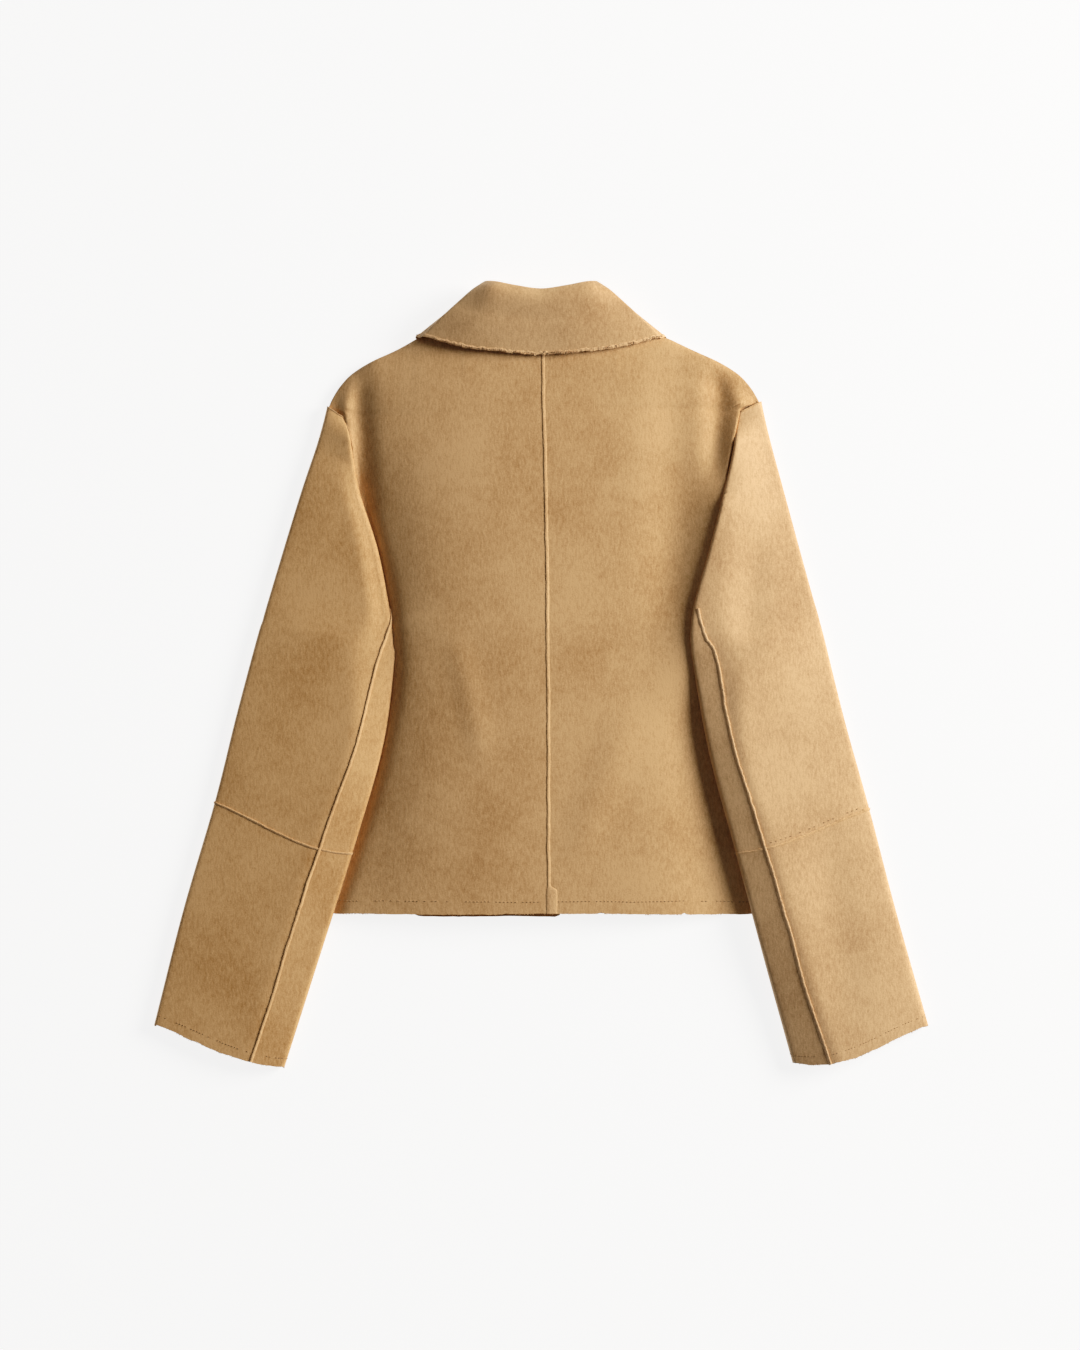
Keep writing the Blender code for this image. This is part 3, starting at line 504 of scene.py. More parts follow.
def spread(points, count):
    """The same line with count + 1 points, closer together where it turns."""
    legs = np.diff(points, axis=0)
    length = np.linalg.norm(legs, axis=1)
    ways = legs / np.maximum(length, 1e-9)[:, None]
    turn = np.arccos(np.clip((ways[1:] * ways[:-1]).sum(axis=1), -1, 1))
    measure = length / max(length.sum(), 1e-9) + np.append(0, turn) / math.pi * TURN_WEIGHT
    at = np.append(0, np.cumsum(measure))
    wanted = np.linspace(0, at[-1], count + 1)
    return between(wanted, at, points)


def stretch(points, at, start, end):
    """The part of a line between two distances."""
    inside = points[(at > start + 1e-6) & (at < end - 1e-6)]
    ends = between((start, end), at, points)
    return np.vstack((ends[:1], inside, ends[1:]))


def sleeve_rows(side, rows):
    """Grid of a sleeve's outer face, one section for each station."""
    grid = []
    for station in rows:
        points, at, marks = section(side, station)
        shares = zip(marks, marks[1:], SLEEVE_COLUMNS)
        parts = [spread(stretch(points, at, start, end), count)[:-1] for start, end, count in shares]
        grid.append(np.vstack((*parts, points[-1:])))
    return np.array(grid)


# --- meshes


def grid_normals(grid, outward):
    normals = np.cross(np.gradient(grid, axis=0), np.gradient(grid, axis=1))
    normals /= np.maximum(np.linalg.norm(normals, axis=2), 1e-9)[:, :, None]
    return normals if float((normals * outward).sum()) > 0 else -normals


def placed(name, data):
    """New object of the scene."""
    made = bpy.data.objects.new(name, data)
    bpy.context.collection.objects.link(made)
    return made


def make_mesh(name, points, faces, material, sharp=40):
    """Object of points in millimetres; edges sharper than the angle in degrees stay sharp."""
    mesh = bpy.data.meshes.new(name)
    mesh.from_pydata((points * MM).tolist(), [], faces)
    mesh.materials.append(material)
    mesh.shade_smooth()
    mesh.set_sharp_from_angle(angle=math.radians(sharp))
    return placed(name, mesh)


def inward(points, quads):
    """Whether the faces of a closed mesh look inwards."""
    a, b, c, d = (points - points.mean(axis=0))[quads].swapaxes(0, 1)
    return (np.cross(a, b) * c).sum() + (np.cross(a, c) * d).sum() < 0


def wall(name, outer, inner, material):
    """Closed cloth wall between two grids of points, faces outwards."""
    rows, columns = outer.shape[:2]
    count = rows * columns
    index = np.arange(count).reshape(rows, columns)
    face = np.stack((index[:-1, :-1], index[1:, :-1], index[1:, 1:], index[:-1, 1:]), axis=-1).reshape(-1, 4)
    rim = np.concatenate((index[0, :], index[1:, -1], index[-1, -2::-1], index[-2::-1, 0]))
    start, end = rim[:-1], rim[1:]
    sides = np.stack((start, end, end + count, start + count), axis=1)
    faces = np.concatenate((face, face[:, ::-1] + count, sides))
    points = np.concatenate((outer.reshape(-1, 3), inner.reshape(-1, 3)))
    if inward(points, faces):
        faces = faces[:, ::-1]
    return make_mesh(name, points, faces.tolist(), material)


def tube(name, rings, material):
    """Closed skin through rings of points, with flat ends."""
    rows, columns = rings.shape[:2]
    index = np.arange(rows * columns).reshape(rows, columns)
    following = np.roll(index, -1, axis=1)
    face = np.stack((index[:-1], following[:-1], following[1:], index[1:]), axis=-1).reshape(-1, 4)
    faces = face.tolist() + [index[0, ::-1].tolist(), index[-1].tolist()]
    points = rings.reshape(-1, 3)
    if inward(points, face):
        faces = [f[::-1] for f in faces]
    return make_mesh(name, points, faces, material, 60)


# --- materials


DEEP, LIGHT = Vector((0.41, 0.207, 0.071)), Vector((0.71, 0.44, 0.215))
PALER = Vector((0.0, 0.035, 0.055))
TONES = ((0.0, 0.0), (0.42, 0.42), (0.62, 0.63), (1.0, 1.0))  # place on the ramp, share of the light colour


def new_material(name):
    """A material and its shader."""
    material = bpy.data.materials.new(name)
    material.use_nodes = True
    return material, material.node_tree.nodes["Principled BSDF"]


def suede(name, tone, turn, fuzz=1.0, pale=0.0):
    """Tan suede: soft patches where the nap lies another way, brushed streaks and a fine grain."""
    material, shader = new_material(name)
    nodes, links = material.node_tree.nodes, material.node_tree.links

    def node(kind, **values):
        made = nodes.new(kind)
        for key, value in values.items():
            if hasattr(made, key):
                setattr(made, key, value)
            else:
                made.inputs[key.replace("_", " ")].default_value = value
        return made

    def noise(source, scale, detail, roughness):
        made = node("ShaderNodeTexNoise", Scale=scale, Detail=detail, Roughness=roughness)
        links.new(source.outputs["Vector"], made.inputs["Vector"])
        return made.outputs["Fac"]

    def math_node(operation, a, b, c=None):
        made = node("ShaderNodeMath", operation=operation)
        for socket, value in zip(made.inputs, (a, b, c)):
            if isinstance(value, float):
                socket.default_value = value
            elif value is not None:
                links.new(value, socket)
        return made.outputs[0]

    def mapping(scale):
        made = node("ShaderNodeMapping", Rotation=(0.0, 0.0, turn), Scale=scale)
        links.new(coord.outputs["Object"], made.inputs["Vector"])
        return made

    coord = node("ShaderNodeTexCoord")
    flat, brushed = mapping((1.0, 1.0, 1.0)), mapping((1.0, 0.35, 1.0))
    patches = noise(flat, 13.0, 3.0, 0.5)
    blotches = noise(flat, 70.0, 3.0, 0.55)
    streaks = noise(brushed, 480.0, 2.0, 0.6)
    grain = noise(flat, 760.0, 2.0, 0.6)

    shade = math_node("MULTIPLY_ADD", patches, 1.3, -1.25)
    shade = math_node("MULTIPLY_ADD", blotches, 0.4, shade)
    shade = math_node("MULTIPLY_ADD", streaks, 1.2, shade)
    shade = math_node("MULTIPLY_ADD", grain, 1.0, shade)

    ramp = node("ShaderNodeValToRGB")
    stops = [(place, DEEP.lerp(LIGHT, share) + PALER * pale) for place, share in TONES]
    while len(ramp.color_ramp.elements) < len(stops):
        ramp.color_ramp.elements.new(0.5)
    for element, (place, colour) in zip(ramp.color_ramp.elements, stops):
        element.position = place
        element.color = (*(min(channel * tone, 1.0) for channel in colour), 1.0)
    links.new(shade, ramp.inputs["Fac"])
    links.new(ramp.outputs["Color"], shader.inputs["Base Color"])

    height = math_node("MULTIPLY_ADD", streaks, 0.7, math_node("MULTIPLY", grain, 0.5))
    bump = node("ShaderNodeBump", Strength=0.35 * fuzz, Distance=0.0006)
    links.new(height, bump.inputs["Height"])
    links.new(bump.outputs["Normal"], shader.inputs["Normal"])

    rough = math_node("MULTIPLY_ADD", blotches, 0.12, 0.66)
    links.new(rough, shader.inputs["Roughness"])
    shader.inputs["Specular IOR Level"].default_value = 0.45
    shader.inputs["Sheen Weight"].default_value = 0.35 * fuzz
    shader.inputs["Sheen Roughness"].default_value = 0.45
    shader.inputs["Sheen Tint"].default_value = (1.0, 0.82, 0.6, 1.0)
    return material


SLEEVE_TURN = {"left": math.radians(-17), "right": math.radians(17)}
SUEDE = {  # how light, turned, rough and pale each is
    "back": suede("suede_back", 1.0, 0.0),
    "front": suede("suede_front", 0.95, 0.0),
    "collar": suede("suede_collar", 1.0, 0.4, 1.0, 0.3),
    # The left sleeve is deeper in colour, painted shade for its side turned from the key light; the right one
    # is lighter and paler, a painted highlight for its side facing it.
    "sleeve_left": suede("suede_sleeve_left_painted_shade", 1.0, SLEEVE_TURN["left"], 1.0, -0.3),
    "sleeve_right": suede("suede_sleeve_right_painted_highlight", 1.03, SLEEVE_TURN["right"], 1.0, 0.45),
    "raw": suede("suede_raw_edge", 1.08, 0.0, 1.6, 0.2),
    # A much lighter, paler raw edge: painted highlight for fibres that catch the key light, on the collar's
    # edge and the right sleeve.
    "fringe_painted_highlight": suede("suede_fringe", 1.25, 0.0, 1.6, 0.6),
    # A lighter, paler copy of the raw edge: painted highlight on the right sleeve's seam, which faces the key
    # light.
    "raw_painted_highlight": suede("suede_raw_edge_painted_highlight", 1.12, 0.0, 1.6, 0.8),
    "thread": suede("suede_thread", 0.62, 0.0, 0.5, 0.0),
}

# --- panels

PIECES = {}  # the cut pieces by CAD node
SEAMS = {}  # what lies on them
SKINS = {}  # both parts of a sleeve as stations, grid and normals, for the seams that lie on them

# Parts of a panel's grid: end, count.
BACK_ROWS = ((0.034, 26), (0.955, 186), (1, 14))
BACK_COLUMNS = ((0.03, 8), (0.9, 86), (1, 18))
FRONT_ROWS = ((0.95, 90), (1, 12))
FRONT_COLUMNS = ((0.9, 46), (1, 14))
HEM_NICKS = ((57, 1.3), (136, 1.5), (-33, 0.8))  # x, depth
NICK_WIDTH = 2.2
CAP_PITCH, SHOULDER_PITCH, ARM_PITCH = 1.6, 2, 2.2  # between a sleeve's rows
CUFF_POINT_PITCH = 1.3
COLLAR_ROWS = 420
COLLAR_COLUMNS = (12, 18, 34)  # neck seam to roll, roll, roll to edge


def dense(parts):
    """Positions from 0 to 1: parts are (end, count) pairs."""
    places, start = [], 0
    for end, count in parts:
        places.append(np.linspace(start, end, count, endpoint=False))
        start = end
    return np.append(np.concatenate(places), start)


def body_grid(side, rows, columns, start_x, bottom, neck, height, armhole_gap):
    """Grid of a panel's outer face, up from the hem and out from its start line."""
    rows = dense(rows)[:, None]
    columns = dense(columns)[None, :]
    tip_y = TIP[side][1]
    top_x = np.abs(start_x(tip_y) + (sign(side) * half_width(side, tip_y) - start_x(tip_y)) * columns)
    low_x = start_x(HEM_Y) + (sign(side) * half_width(side, HEM_Y) - start_x(HEM_Y)) * columns
    bottom_y = bottom(low_x)
    y = bottom_y + rows * (top_y(side, top_x, neck) - bottom_y)
    start = start_x(y)
    width = half_width(side, y) - armhole_gap * step((y - UNDERARM_Y + EDGE_BAND) / EDGE_BAND)
    x = start + (sign(side) * width - start) * columns
    return np.stack((x, y, height(side, x, y)), axis=-1)


def back_hem(x):
    """y of the back's raw hem: almost straight, a little wavy, with small nicks."""
    wave = noise_line(11, x.ravel(), (60, 0.7), (14, 0.25), (3, 0.18)).reshape(x.shape)
    return HEM_Y + wave + sum(deep * np.exp(-(((x - at) / NICK_WIDTH) ** 2)) for at, deep in HEM_NICKS)


def front_hem(x):
    """y of the fronts' raw hem: a little longer than the back beside the middle."""
    wave = noise_line(12, x.ravel(), (40, 0.5), (6, 0.2)).reshape(x.shape)
    left = 3.3 * step((x + 124) / 10) * step((19 - x) / 2)
    right = 1.8 * np.exp(-(((x - 27) / 3) ** 2))
    return HEM_Y + 0.6 + wave - (left + right)


def build_panel(node, side, grid, down, neck_half, material):
    """Cloth wall under a panel's grid, its edges square to its seams."""
    normals = grid_normals(grid, (0, 0, down))
    below = grid[:, -1, 1] < UNDERARM_Y + 1
    normals[below, -1] = (sign(side), 0, 0)
    shoulder = np.abs(grid[-1, :, 0]) > neck_half
    across, along = shoulder_normal(side, grid[-1, shoulder, 0])
    normals[-1, shoulder] = np.column_stack((sign(side) * across, along, 0 * along))
    PIECES[node] = wall(f"jacket_{node}", grid, grid - normals * CLOTH, material)


def build_body():
    for side in SIDES:
        grid = body_grid(
            side, BACK_ROWS, BACK_COLUMNS, lambda y: table_curve(y, CENTRE_BACK), back_hem, BACK_NECK,
            back_height, 0,
        )
        build_panel(f"back_{side}", side, grid, 1, NECK_HALF, SUEDE["back"])
        start = FRONT_EDGE[side]
        grid = body_grid(
            side, FRONT_ROWS, FRONT_COLUMNS, lambda y: start + 0 * y, front_hem, FRONT_NECK, front_height,
            FRONT_ARMHOLE_GAP,
        )
        build_panel(f"front_{side}", side, grid, -1, NECK_HALF + 4, SUEDE["front"])


def row_stations(side, start, end, pitch):
    """Stations between two, about one pitch apart along the sleeve."""
    fine = np.linspace(start, end, 400)
    rows = stations(side, fine)
    at = distances((rows[:, 0:2] + rows[:, 2:4]) / 2)
    count = max(int(round(at[-1] / pitch)), 2)
    return np.interp(np.linspace(0, at[-1], count + 1), at, fine)


def fray_cuff(side, skin):
    """Makes a cuff's raw edge ragged, less so on the floor."""
    along = np.arange(skin.shape[1]) * CUFF_POINT_PITCH
    ragged = noise_line(60 + len(side), along, (30, 0.8), (7, 0.4), (2.6, 0.3))
    raised = 0.1 + 0.9 * (skin[-1, :, 2] > 6)
    skin[-1] += unit(skin[-1] - skin[-2]) * ragged[:, None] * raised[:, None]


def build_sleeve(side):
    seam = UNDER_COLUMNS
    cap = row_stations(side, 0, UNDER_FROM, CAP_PITCH)
    shoulder = row_stations(side, UNDER_FROM, UNDER_FULL, SHOULDER_PITCH)[1:]
    arm = row_stations(side, UNDER_FULL, ELBOW, ARM_PITCH)[1:]
    upper = np.concatenate((cap, shoulder, arm))
    lower = row_stations(side, ELBOW, len(SLEEVE[side]) - 1, ARM_PITCH)
    SKINS[side] = []
    for part, at in (("upper", upper), ("lower", lower)):
        skin = sleeve_rows(side, at)
        if part == "lower":
            fray_cuff(side, skin)
        normals = grid_normals(skin, skin - skin.mean(axis=1, keepdims=True))
        closed = at > UNDERARM_STATION
        normals[closed, 0] = normals[closed, -1] = (normals[closed, 0] + normals[closed, -1]) / 2
        normals[~closed, 0] = normals[~closed, -1] = (0, 0, -1)
        inner = skin - normals * CLOTH
        first = len(cap) if part == "upper" else 0
        cuts = (("top", slice(0, None), slice(seam, None)), ("under", slice(first, None), slice(0, seam + 1)))
        for kind, rows, columns in cuts:
            node = f"sleeve_{side}_{kind}_{part}"
            faces = skin[rows, columns], inner[rows, columns]
            PIECES[node] = wall(f"jacket_{node}", *faces, SUEDE[f"sleeve_{side}"])
        SKINS[side].append((at, skin, normals))


def collar_row(points):
    """One row of the collar, resampled."""
    at = distances(points)
    marks = at[[0, 2, 4, 6]]
    shares = zip(marks[:-1], marks[1:], COLLAR_COLUMNS)
    wanted = [np.linspace(start, end, count, endpoint=False) for start, end, count in shares]
    return curve(np.append(np.concatenate(wanted), at[-1]), at, points)


def collar_grid():
    """Grid of the collar's middle surface, from its left end to its right one."""
    half = []
    for row in COLLAR:
        neck, roll, fall, edge, turn = (np.array(v) for v in row)
        inner_roll = roll + (neck - roll) * ROLL_SHARE - turn * TURN_SHARE
        outer_roll = roll + (fall - roll) * ROLL_SHARE + turn * TURN_SHARE
        half.append((neck, neck + (inner_roll - neck) * 0.5, inner_roll, roll, outer_roll, fall, edge))
    half = np.array(half)
    rise = np.array(LEFT_RISE[::-1])[:, None, None] * LEFT_SHARE[:, None] * (0, 0, 1)
    control = np.concatenate((half[:0:-1] * (-1, 1, 1) + rise, half))
    flat = control.reshape(len(control), -1)
    rows = curve(np.linspace(0, len(control) - 1, COLLAR_ROWS), np.arange(len(control)), flat)
    grid = np.array([collar_row(row) for row in rows.reshape(COLLAR_ROWS, -1, 3)])
    grid[..., 2] = np.maximum(grid[..., 2], CLOTH / 2)
    return grid


def build_collar():
    middle = collar_grid()
    ragged = noise_line(31, distances(middle[:, -1]), (11, 0.3), (3.4, 0.55), (1.7, 0.45))
    middle[:, -1] += unit(middle[:, -1] - middle[:, -4]) * ragged[:, None]
    normals = grid_normals(middle, (0, 1, 0))
    faces = middle + normals * CLOTH / 2, middle - normals * CLOTH / 2
    PIECES["collar"] = wall("jacket_collar", *faces, SUEDE["collar"])
    return middle, normals


# --- seams

LAPPED = (  # across, up: cross-section of a lapped raw edge; across < 0 is the raw side
    (0.2, -0.7), (-0.1, 0.15), (-0.45, 0.7), (-0.25, 1.25), (0.45, 1.5),
    (1.3, 1.4), (2.1, 1), (2.8, 0.45), (3.3, -0.1), (3.4, -0.7),
)
LAP_PITCH = 0.8
FLARE_AT, FLARE_BAND = 27, 5  # how long a seam flares, and over what length that ends
# shift is off the seam's line, flare how much wider it is at its start
Lap = namedtuple("Lap", "seed width high fuzz shift flare cloth", defaults=(0, "raw"))
LAPS = {
    "seam_centre_back": Lap(100, 0.85, 0.42, 0.6, -1.3, 2.2),
    "seam_sleeve_left": Lap(110, 0.8, 0.8, 0.7, -0.3),
    # The right sleeve's seam takes the raw edge's painted-highlight copy.
    "seam_sleeve_right": Lap(117, 0.95, 0.8, 1.3, -0.3, 0, "raw_painted_highlight"),
    "seam_armhole_left": Lap(189, 0.4, 0.3, 0.6, -0.4),
    "seam_armhole_right": Lap(191, 0.4, 0.3, 0.6, -0.4),
    "seam_elbow_left": Lap(130, 0.72, 0.62, 0.7, -1),
    "seam_elbow_right": Lap(135, 0.72, 0.62, 1.3, -1),
    "seam_elbow_under_left": Lap(150, 0.6, 0.45, 0.7, -1),
    "seam_elbow_under_right": Lap(155, 0.6, 0.45, 1.3, -1),
    # The collar's lip is coloured with the fringe's painted highlight.
    "collar_lip": Lap(170, 0.8, 0.3, 2.6, -0.5, 0, "fringe_painted_highlight"),
}
# lift is how much the fibres stand up
Fray = namedtuple("Fray", "seed per_mm length thick lift cloth", defaults=(0.3, "raw"))
FRAYS = {
    "fray_hem": Fray(300, 1.6, 1.3, 0.26),
    "fray_cuff_left": Fray(314, 2.2, 1.4, 0.26),
    # The right cuff's, the right seam's and the collar's fibres are coloured with the fringe's painted
    # highlight.
    "fray_cuff_right": Fray(315, 2.2, 1.4, 0.26, 0.3, "fringe_painted_highlight"),
    "fray_sleeve_left": Fray(334, 0.5, 1.5, 0.26),
    "fray_sleeve_right": Fray(335, 2.4, 1.5, 0.26, 0.3, "fringe_painted_highlight"),
    "collar_fray": Fray(41, 7, 2.4, 0.3, 0.8, "fringe_painted_highlight"),
}
# kept is the share of the stitches that shows
Row = namedtuple("Row", "seed pitch long thick kept")
STITCHES = {
    "stitches_hem_left": Row(76, 3.6, 2.1, 0.36, 0.8),
    "stitches_hem_right": Row(77, 3.6, 2.1, 0.36, 0.8),
    "stitches_cuff_left": Row(84, 3, 1.8, 0.3, 0.75),
    "stitches_cuff_right": Row(85, 3, 1.8, 0.3, 0.75),
    "stitches_strip_left": Row(94, 3, 1.8, 0.3, 0.75),
    "stitches_strip_right": Row(95, 3, 1.8, 0.3, 0.75),
    "stitches_elbow_right": Row(97, 5, 2.6, 0.42, 0.85),
}
HEM_ROW, CUFF_ROW = 12, 9  # stitch lines above the raw hem and above the cuffs
LAST_LENGTH = 108  # of a sleeve, between its last two stations
ARMHOLE_SHOWN = {"left": 1.3, "right": 0.9}  # station down to which the armhole's seam shows
SEAM_FROM, FRAY_FROM = 5, 6.5  # stations where the sleeves' back seams and their fibres begin
COLLAR_SHOWN = slice(54, 366)  # rows of the collar with a frayed edge
COLLAR_TOP_ROW = 210


def along_path(path, normals, pitch):
    """Distances, path and normals resampled at an even pitch."""
    at = distances(path)
    wanted = np.linspace(0, at[-1], max(int(at[-1] / pitch), 2) + 1)
    return wanted, between(wanted, at, path), unit(between(wanted, at, normals))


def lapped_seam(name, path, normals, raw_side):
    """Raised raw-edged seam along a path; raw_side, +1 or -1, is where its raw edge looks to."""
    lap = LAPS[name]
    at, path, up = along_path(path, normals, LAP_PITCH)
    across = np.cross(up, unit(np.gradient(path, axis=0))) * raw_side
    edge = noise_line(lap.seed, at, (8, 0.18), (2.2, 0.22 * lap.fuzz), (1, 0.16 * lap.fuzz))
    tall = 1 + noise_line(lap.seed + 1, at, (12, 0.12), (2.5, 0.14 * lap.fuzz))
    slack = noise_line(lap.seed + 2, at, (30, 0.35), (6, 0.12))
    flare = 1 + lap.flare * step((FLARE_AT - at) / FLARE_BAND)
    rings = []
    for a, z in LAPPED:
        off = lap.shift + a * lap.width * flare + slack + edge * step((1.2 - a) / 1.6)
        lifted = z * lap.high * np.where(z > 0, tall, 1)
        rings.append(path - across * off[:, None] + up * lifted[:, None])
    SEAMS[name] = tube(name, np.stack(rings, axis=1), SUEDE[lap.cloth])


def tufts(name, path, normals, outward):
    """Loose fibres along a raw edge: thin closed spikes."""
    fray = FRAYS[name]
    rng = np.random.default_rng(fray.seed)
    source = distances(path)
    at, path, up = along_path(path, normals, 0.5)
    out = between(at, source, outward)
    count = int(at[-1] * fray.per_mm)
    place = np.sort(rng.uniform(0, at[-1], count))
    density = 0.5 + noise_line(fray.seed + 5, place, (14, 0.5), (4, 0.4))
    place = place[density > rng.uniform(0, 0.7, count)]
    points, faces = [], []
    for p in place:
        base, n, o = (between(p, at, line) for line in (path, up, out))
        side = np.cross(n, o)
        long = fray.length * rng.uniform(0.4, 1.3)
        lean, rise, sink = rng.uniform(-0.8, 0.8), rng.uniform(-0.6, 1) * fray.lift, rng.uniform(-0.6, 0.5)
        start = base - o * 0.5 + n * sink * CLOTH * 0.6
        direction = unit(o + side * lean + n * rise)
        bend = side * rng.uniform(-0.35, 0.35) + n * rng.uniform(-0.2, 0.3)
        wide = fray.thick * rng.uniform(0.6, 1.6)
        first = len(points)
        for share, size in ((0, 1), (0.5, 0.8)):
            centre = start + direction * long * share + bend * long * share * share
            for angle in (0, 2.1, 4.2):
                points.append(centre + (side * math.cos(angle) + n * math.sin(angle)) * wide * size)
        points.append(start + direction * long + bend * long)
        faces.append((first, first + 2, first + 1))
        for k in range(3):
            m = (k + 1) % 3
            faces.append((first + k, first + m, first + 3 + m))
            faces.append((first + k, first + 3 + m, first + 3 + k))
            faces.append((first + 3 + k, first + 3 + m, first + 6))
    SEAMS[name] = make_mesh(name, np.array(points), faces, SUEDE[fray.cloth], 180)


def stitches(name, path, normals):
    """A row of short threads that dip into the cloth at both ends."""
    row = STITCHES[name]
    rng = np.random.default_rng(row.seed)
    at, path, up = along_path(path, normals, 0.6)
    weight = row.kept + noise_line(row.seed + 1, at, (45, 0.35))
    points, faces = [], []
    for p in np.arange(row.pitch, at[-1] - row.pitch, row.pitch):
        if rng.uniform() > np.interp(p, at, weight):
            continue
        first = len(points)
        places = p + np.array((-0.5, -0.25, 0.25, 0.5)) * row.long * rng.uniform(0.8, 1.15)
        centres = between(places, at, path)
        n = between(p, at, up)
        side = np.cross(n, unit(centres[-1] - centres[0]))
        for centre, rise in zip(centres, (-0.3, 0.22, 0.22, -0.3)):
            for k in range(6):
                angle = k * math.pi / 3
                raised = n * (rise + row.thick * math.sin(angle))
                points.append(centre + raised + side * row.thick * math.cos(angle))
        for ring in range(3):
            for k in range(6):
                a, b = first + ring * 6 + k, first + ring * 6 + (k + 1) % 6
                faces.append((a, b, b + 6))
                faces.append((a, b + 6, a + 6))
        for base, order in ((first, (0, 2, 1)), (first + 18, (0, 1, 2))):
            for k in range(1, 5):
                corner = (base, base + k, base + k + 1)
                faces.append(tuple(corner[i] for i in order))
    SEAMS[name] = make_mesh(name, np.array(points), faces, SUEDE["thread"], 60)


def upright(points):
    """Normals that point straight up, one for each point."""
    return np.tile((0, 0, 1), (len(points), 1))


def on_back(x, y, middle):
    """Points on the back's outer face; up to the middle they are on its left panel."""
    z = np.where(x < middle, back_height("left", x, y), back_height("right", x, y))
    return np.column_stack((x, y, z))


def back_seam(side, start):
    """Points and normals down a sleeve's back seam from a station to the cuff."""
    (at, upper, upper_n), (_, lower, lower_n) = SKINS[side]
    shown, seam = at > start, UNDER_COLUMNS
    path = np.concatenate((upper[shown, seam], lower[1:, seam]))
    return path, np.concatenate((upper_n[shown, seam], lower_n[1:, seam]))


def armhole_seam(side):
    """Points along an armhole's seam, from the outer edge to where the fold begins."""
    (at, upper, _), _ = SKINS[side]
    head = upper[at < ARMHOLE_SHOWN[side]]
    tips = [row[np.argmin(np.abs(row[:, 0]))] for row in head]
    near, far = np.argmin(np.abs(head[0, :, 0])), np.argmax(np.abs(head[0, :, 0]))
    over = head[0, far:near:-1] if far > near else head[0, far:near]
    path = np.vstack((over + (0, 0, 0.1), np.array(tips) + (0, 0, 0.6)))
    return path + np.array((0.3 * sign(side), 0.2, 0))


def build_seams():
    seam = UNDER_COLUMNS
    y = np.linspace(HEM_Y + 0.3, 326, 300)
    path = on_back(table_curve(y, CENTRE_BACK), y, -np.inf)
    lapped_seam("seam_centre_back", path, upright(path), 1)
    for side in SIDES:
        raw = int(sign(side))
        lapped_seam(f"seam_sleeve_{side}", *back_seam(side, SEAM_FROM), raw)
        path = armhole_seam(side)
        lapped_seam(f"seam_armhole_{side}", path, upright(path), -raw)
        (_, upper, upper_n), (_, lower, lower_n) = SKINS[side]
        lapped_seam(f"seam_elbow_{side}", lower[0, seam:-6], lower_n[0, seam:-6], raw)
        if side == "right":
            stitches("stitches_elbow_right", upper[-3, seam + 1:-8], upper_n[-3, seam + 1:-8])
        lapped_seam(f"seam_elbow_under_{side}", lower[0, 6:seam + 1], lower_n[0, 6:seam + 1], raw)


def build_stitches():
    seam = UNDER_COLUMNS
    x = np.linspace(-205, 210, 500)
    y = np.full_like(x, HEM_Y + HEM_ROW) + noise_line(71, x, (50, 0.8), (14, 0.25))
    path = on_back(x, y, 7)
    for side, part in (("left", x < 4), ("right", x > 13)):
        stitches(f"stitches_hem_{side}", path[part], upright(path[part]))
    for side in SIDES:
        station = len(SLEEVE[side]) - 1 - CUFF_ROW / LAST_LENGTH
        ring = sleeve_rows(side, [station - 0.02, station, station + 0.02])
        normals = grid_normals(ring, ring - ring.mean(axis=1, keepdims=True))
        stitches(f"stitches_cuff_{side}", ring[1, seam + 2:-18], normals[1, seam + 2:-18])
        stitches(f"stitches_strip_{side}", ring[1, 20:seam - 2], normals[1, 20:seam - 2])


def build_fray():
    """Loose fibres along the raw hem, the cuffs and the sleeves' lapped seams."""
    x = np.linspace(-196, 200, 400)
    path = on_back(x, back_hem(x[None, :])[0], 7.6) - (0, 0, 0.5)
    tufts("fray_hem", path, upright(path), np.tile((0, -1, 0), (len(path), 1)))
    for side in SIDES:
        _, lower, normals = SKINS[side][1]
        edge, up = lower[-1, 20:-16], normals[-1, 20:-16]
        tufts(f"fray_cuff_{side}", edge - up * 0.5, up, unit(edge - lower[-2, 20:-16]))
        path, up = back_seam(side, FRAY_FROM)
        out = np.cross(np.gradient(path, axis=0), up) * -sign(side)
        tufts(f"fray_sleeve_{side}", path + up * 0.7, up, unit(out))


def build_collar_edge(middle, normals):
    """Frayed lip and loose fibres along the collar's edge where it lies on top."""
    out = unit(middle[:, -1] - middle[:, -4])[COLLAR_SHOWN]
    up = normals[COLLAR_SHOWN, -1] * np.sign(normals[COLLAR_TOP_ROW, -1, 2])
    edge = middle[COLLAR_SHOWN, -1]
    lapped_seam("collar_lip", edge + up * CLOTH / 2 - out * 0.4, up, 1)
    tufts("collar_fray", edge + up * 0.7, up, out)


build_body()
for sleeve_side in SIDES:
    build_sleeve(sleeve_side)
collar_middle, collar_normals = build_collar()
build_seams()
build_stitches()
build_fray()
build_collar_edge(collar_middle, collar_normals)

# --- pieces under the root, and the seams that lie on each panel


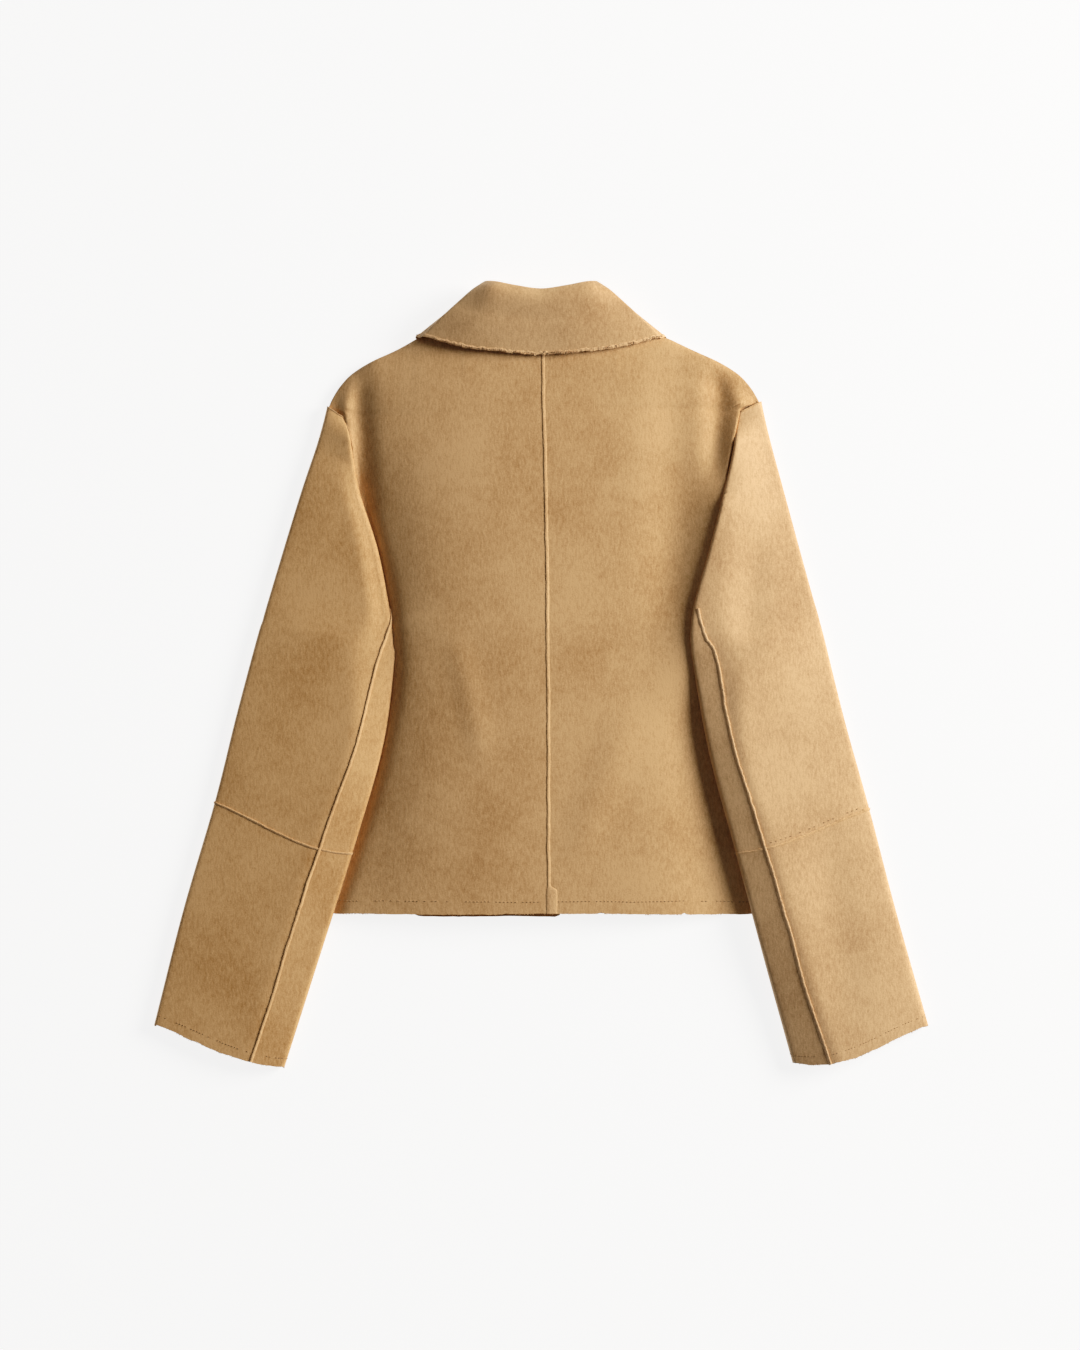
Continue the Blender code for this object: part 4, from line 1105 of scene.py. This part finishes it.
def goes_with(name):
    """Seams and fibres that lie on a panel."""
    found = {
        "back_left": ["stitches_hem_left", "fray_hem"],
        "back_right": ["seam_centre_back", "stitches_hem_right"],
        "collar": ["collar_fray", "collar_lip"],
    }
    for side in SIDES:
        found[f"sleeve_{side}_top_upper"] = [f"seam_armhole_{side}"]
        kinds = ("seam_sleeve", "seam_elbow", "stitches_cuff", "fray_cuff", "fray_sleeve")
        found[f"sleeve_{side}_top_lower"] = [f"{kind}_{side}" for kind in kinds]
        found[f"sleeve_{side}_under_lower"] = [f"seam_elbow_under_{side}", f"stitches_strip_{side}"]
    found["sleeve_right_top_upper"].append("stitches_elbow_right")
    return [SEAMS[key] for key in found.get(name, [])]


for node_name, made_piece in PIECES.items():
    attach(made_piece, "root")
    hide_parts(node_name)
for seam_name, made_piece in SEAMS.items():
    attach(made_piece, "root")

# --- floor, light, camera

PIXEL = 0.95 * MM  # of the picture, on the jacket
PICTURE_HEIGHT = 1350 * PIXEL
JACKET_MIDDLE, CAMERA_HEIGHT = 0.02, 8.0  # above the floor, above the middle
SENSOR = 36.0
FLOOR_HALF, FLOOR_DROP = 6.0, -0.0008
KEY_DISTANCE, KEY_HEIGHT, KEY_TURN = 5.0, math.radians(27), math.radians(20)
RESPONSE = (  # scene value, shown value
    (0.02, 0.011), (0.04, 0.027), (0.08, 0.0685), (0.16, 0.156),
    (0.25, 0.254), (0.45, 0.457), (0.7, 0.666), (0.85, 0.775),
)


def build_stage():
    floor = bpy.data.meshes.new("floor")
    corners = [(FLOOR_HALF * x, FLOOR_HALF * y, 0) for x, y in ((-1, -1), (1, -1), (1, 1), (-1, 1))]
    floor.from_pydata(corners, [], [(0, 1, 2, 3)])
    material, shader = new_material("floor_paper")
    shader.inputs["Roughness"].default_value = 0.9
    shader.inputs["Base Color"].default_value = (0.16, 0.16, 0.16, 1.0)
    shader.inputs["Emission Color"].default_value = (1.0, 1.0, 1.0, 1.0)
    shader.inputs["Emission Strength"].default_value = 0.985
    floor.materials.append(material)
    piece = placed("floor", floor)
    piece.location.z = FLOOR_DROP


def build_light():
    world = bpy.data.worlds.new("studio")
    world.use_nodes = True
    background = world.node_tree.nodes["Background"]
    background.inputs["Color"].default_value = (1.0, 0.94, 0.85, 1.0)
    background.inputs["Strength"].default_value = 0.10
    bpy.context.scene.world = world

    def area(name, place, size, power, colour):
        light = bpy.data.lights.new(name, "AREA")
        light.shape = "DISK"
        light.size = size
        light.energy = power
        light.color = colour
        lamp = placed(name, light)
        lamp.location = place
        lamp.rotation_euler = (-Vector(place)).to_track_quat("-Z", "Y").to_euler()

    level = KEY_DISTANCE * math.cos(KEY_HEIGHT)
    key = (level * math.cos(KEY_TURN), level * math.sin(KEY_TURN), KEY_DISTANCE * math.sin(KEY_HEIGHT))
    area("key", key, 2.7, 375.0, (1.0, 0.965, 0.92))
    area("fill", (-1.6, 1.2, 3.0), 2.6, 4.0, (0.96, 0.98, 1.0))


def build_camera():
    data = bpy.data.cameras.new("camera")
    data.sensor_width = SENSOR
    data.lens = SENSOR * CAMERA_HEIGHT / PICTURE_HEIGHT
    data.clip_end = 50.0
    camera = placed("camera", data)
    camera.location = (-PIXEL, -PIXEL, CAMERA_HEIGHT + JACKET_MIDDLE)
    bpy.context.scene.camera = camera


def build_response():
    """Display response with a toe and a shoulder, as in studio pictures."""
    view = bpy.context.scene.view_settings
    view.view_transform = "Standard"
    view.use_curve_mapping = True
    view.curve_mapping.extend = "EXTRAPOLATED"
    line = view.curve_mapping.curves[3]
    line.points[-1].location = (1.0, 0.872)
    for place, value in RESPONSE:
        line.points.new(place, value)
    view.curve_mapping.update()


build_stage()
build_light()
build_camera()
build_response()

for node_name, made_piece in PIECES.items():
    goes_with(node_name)
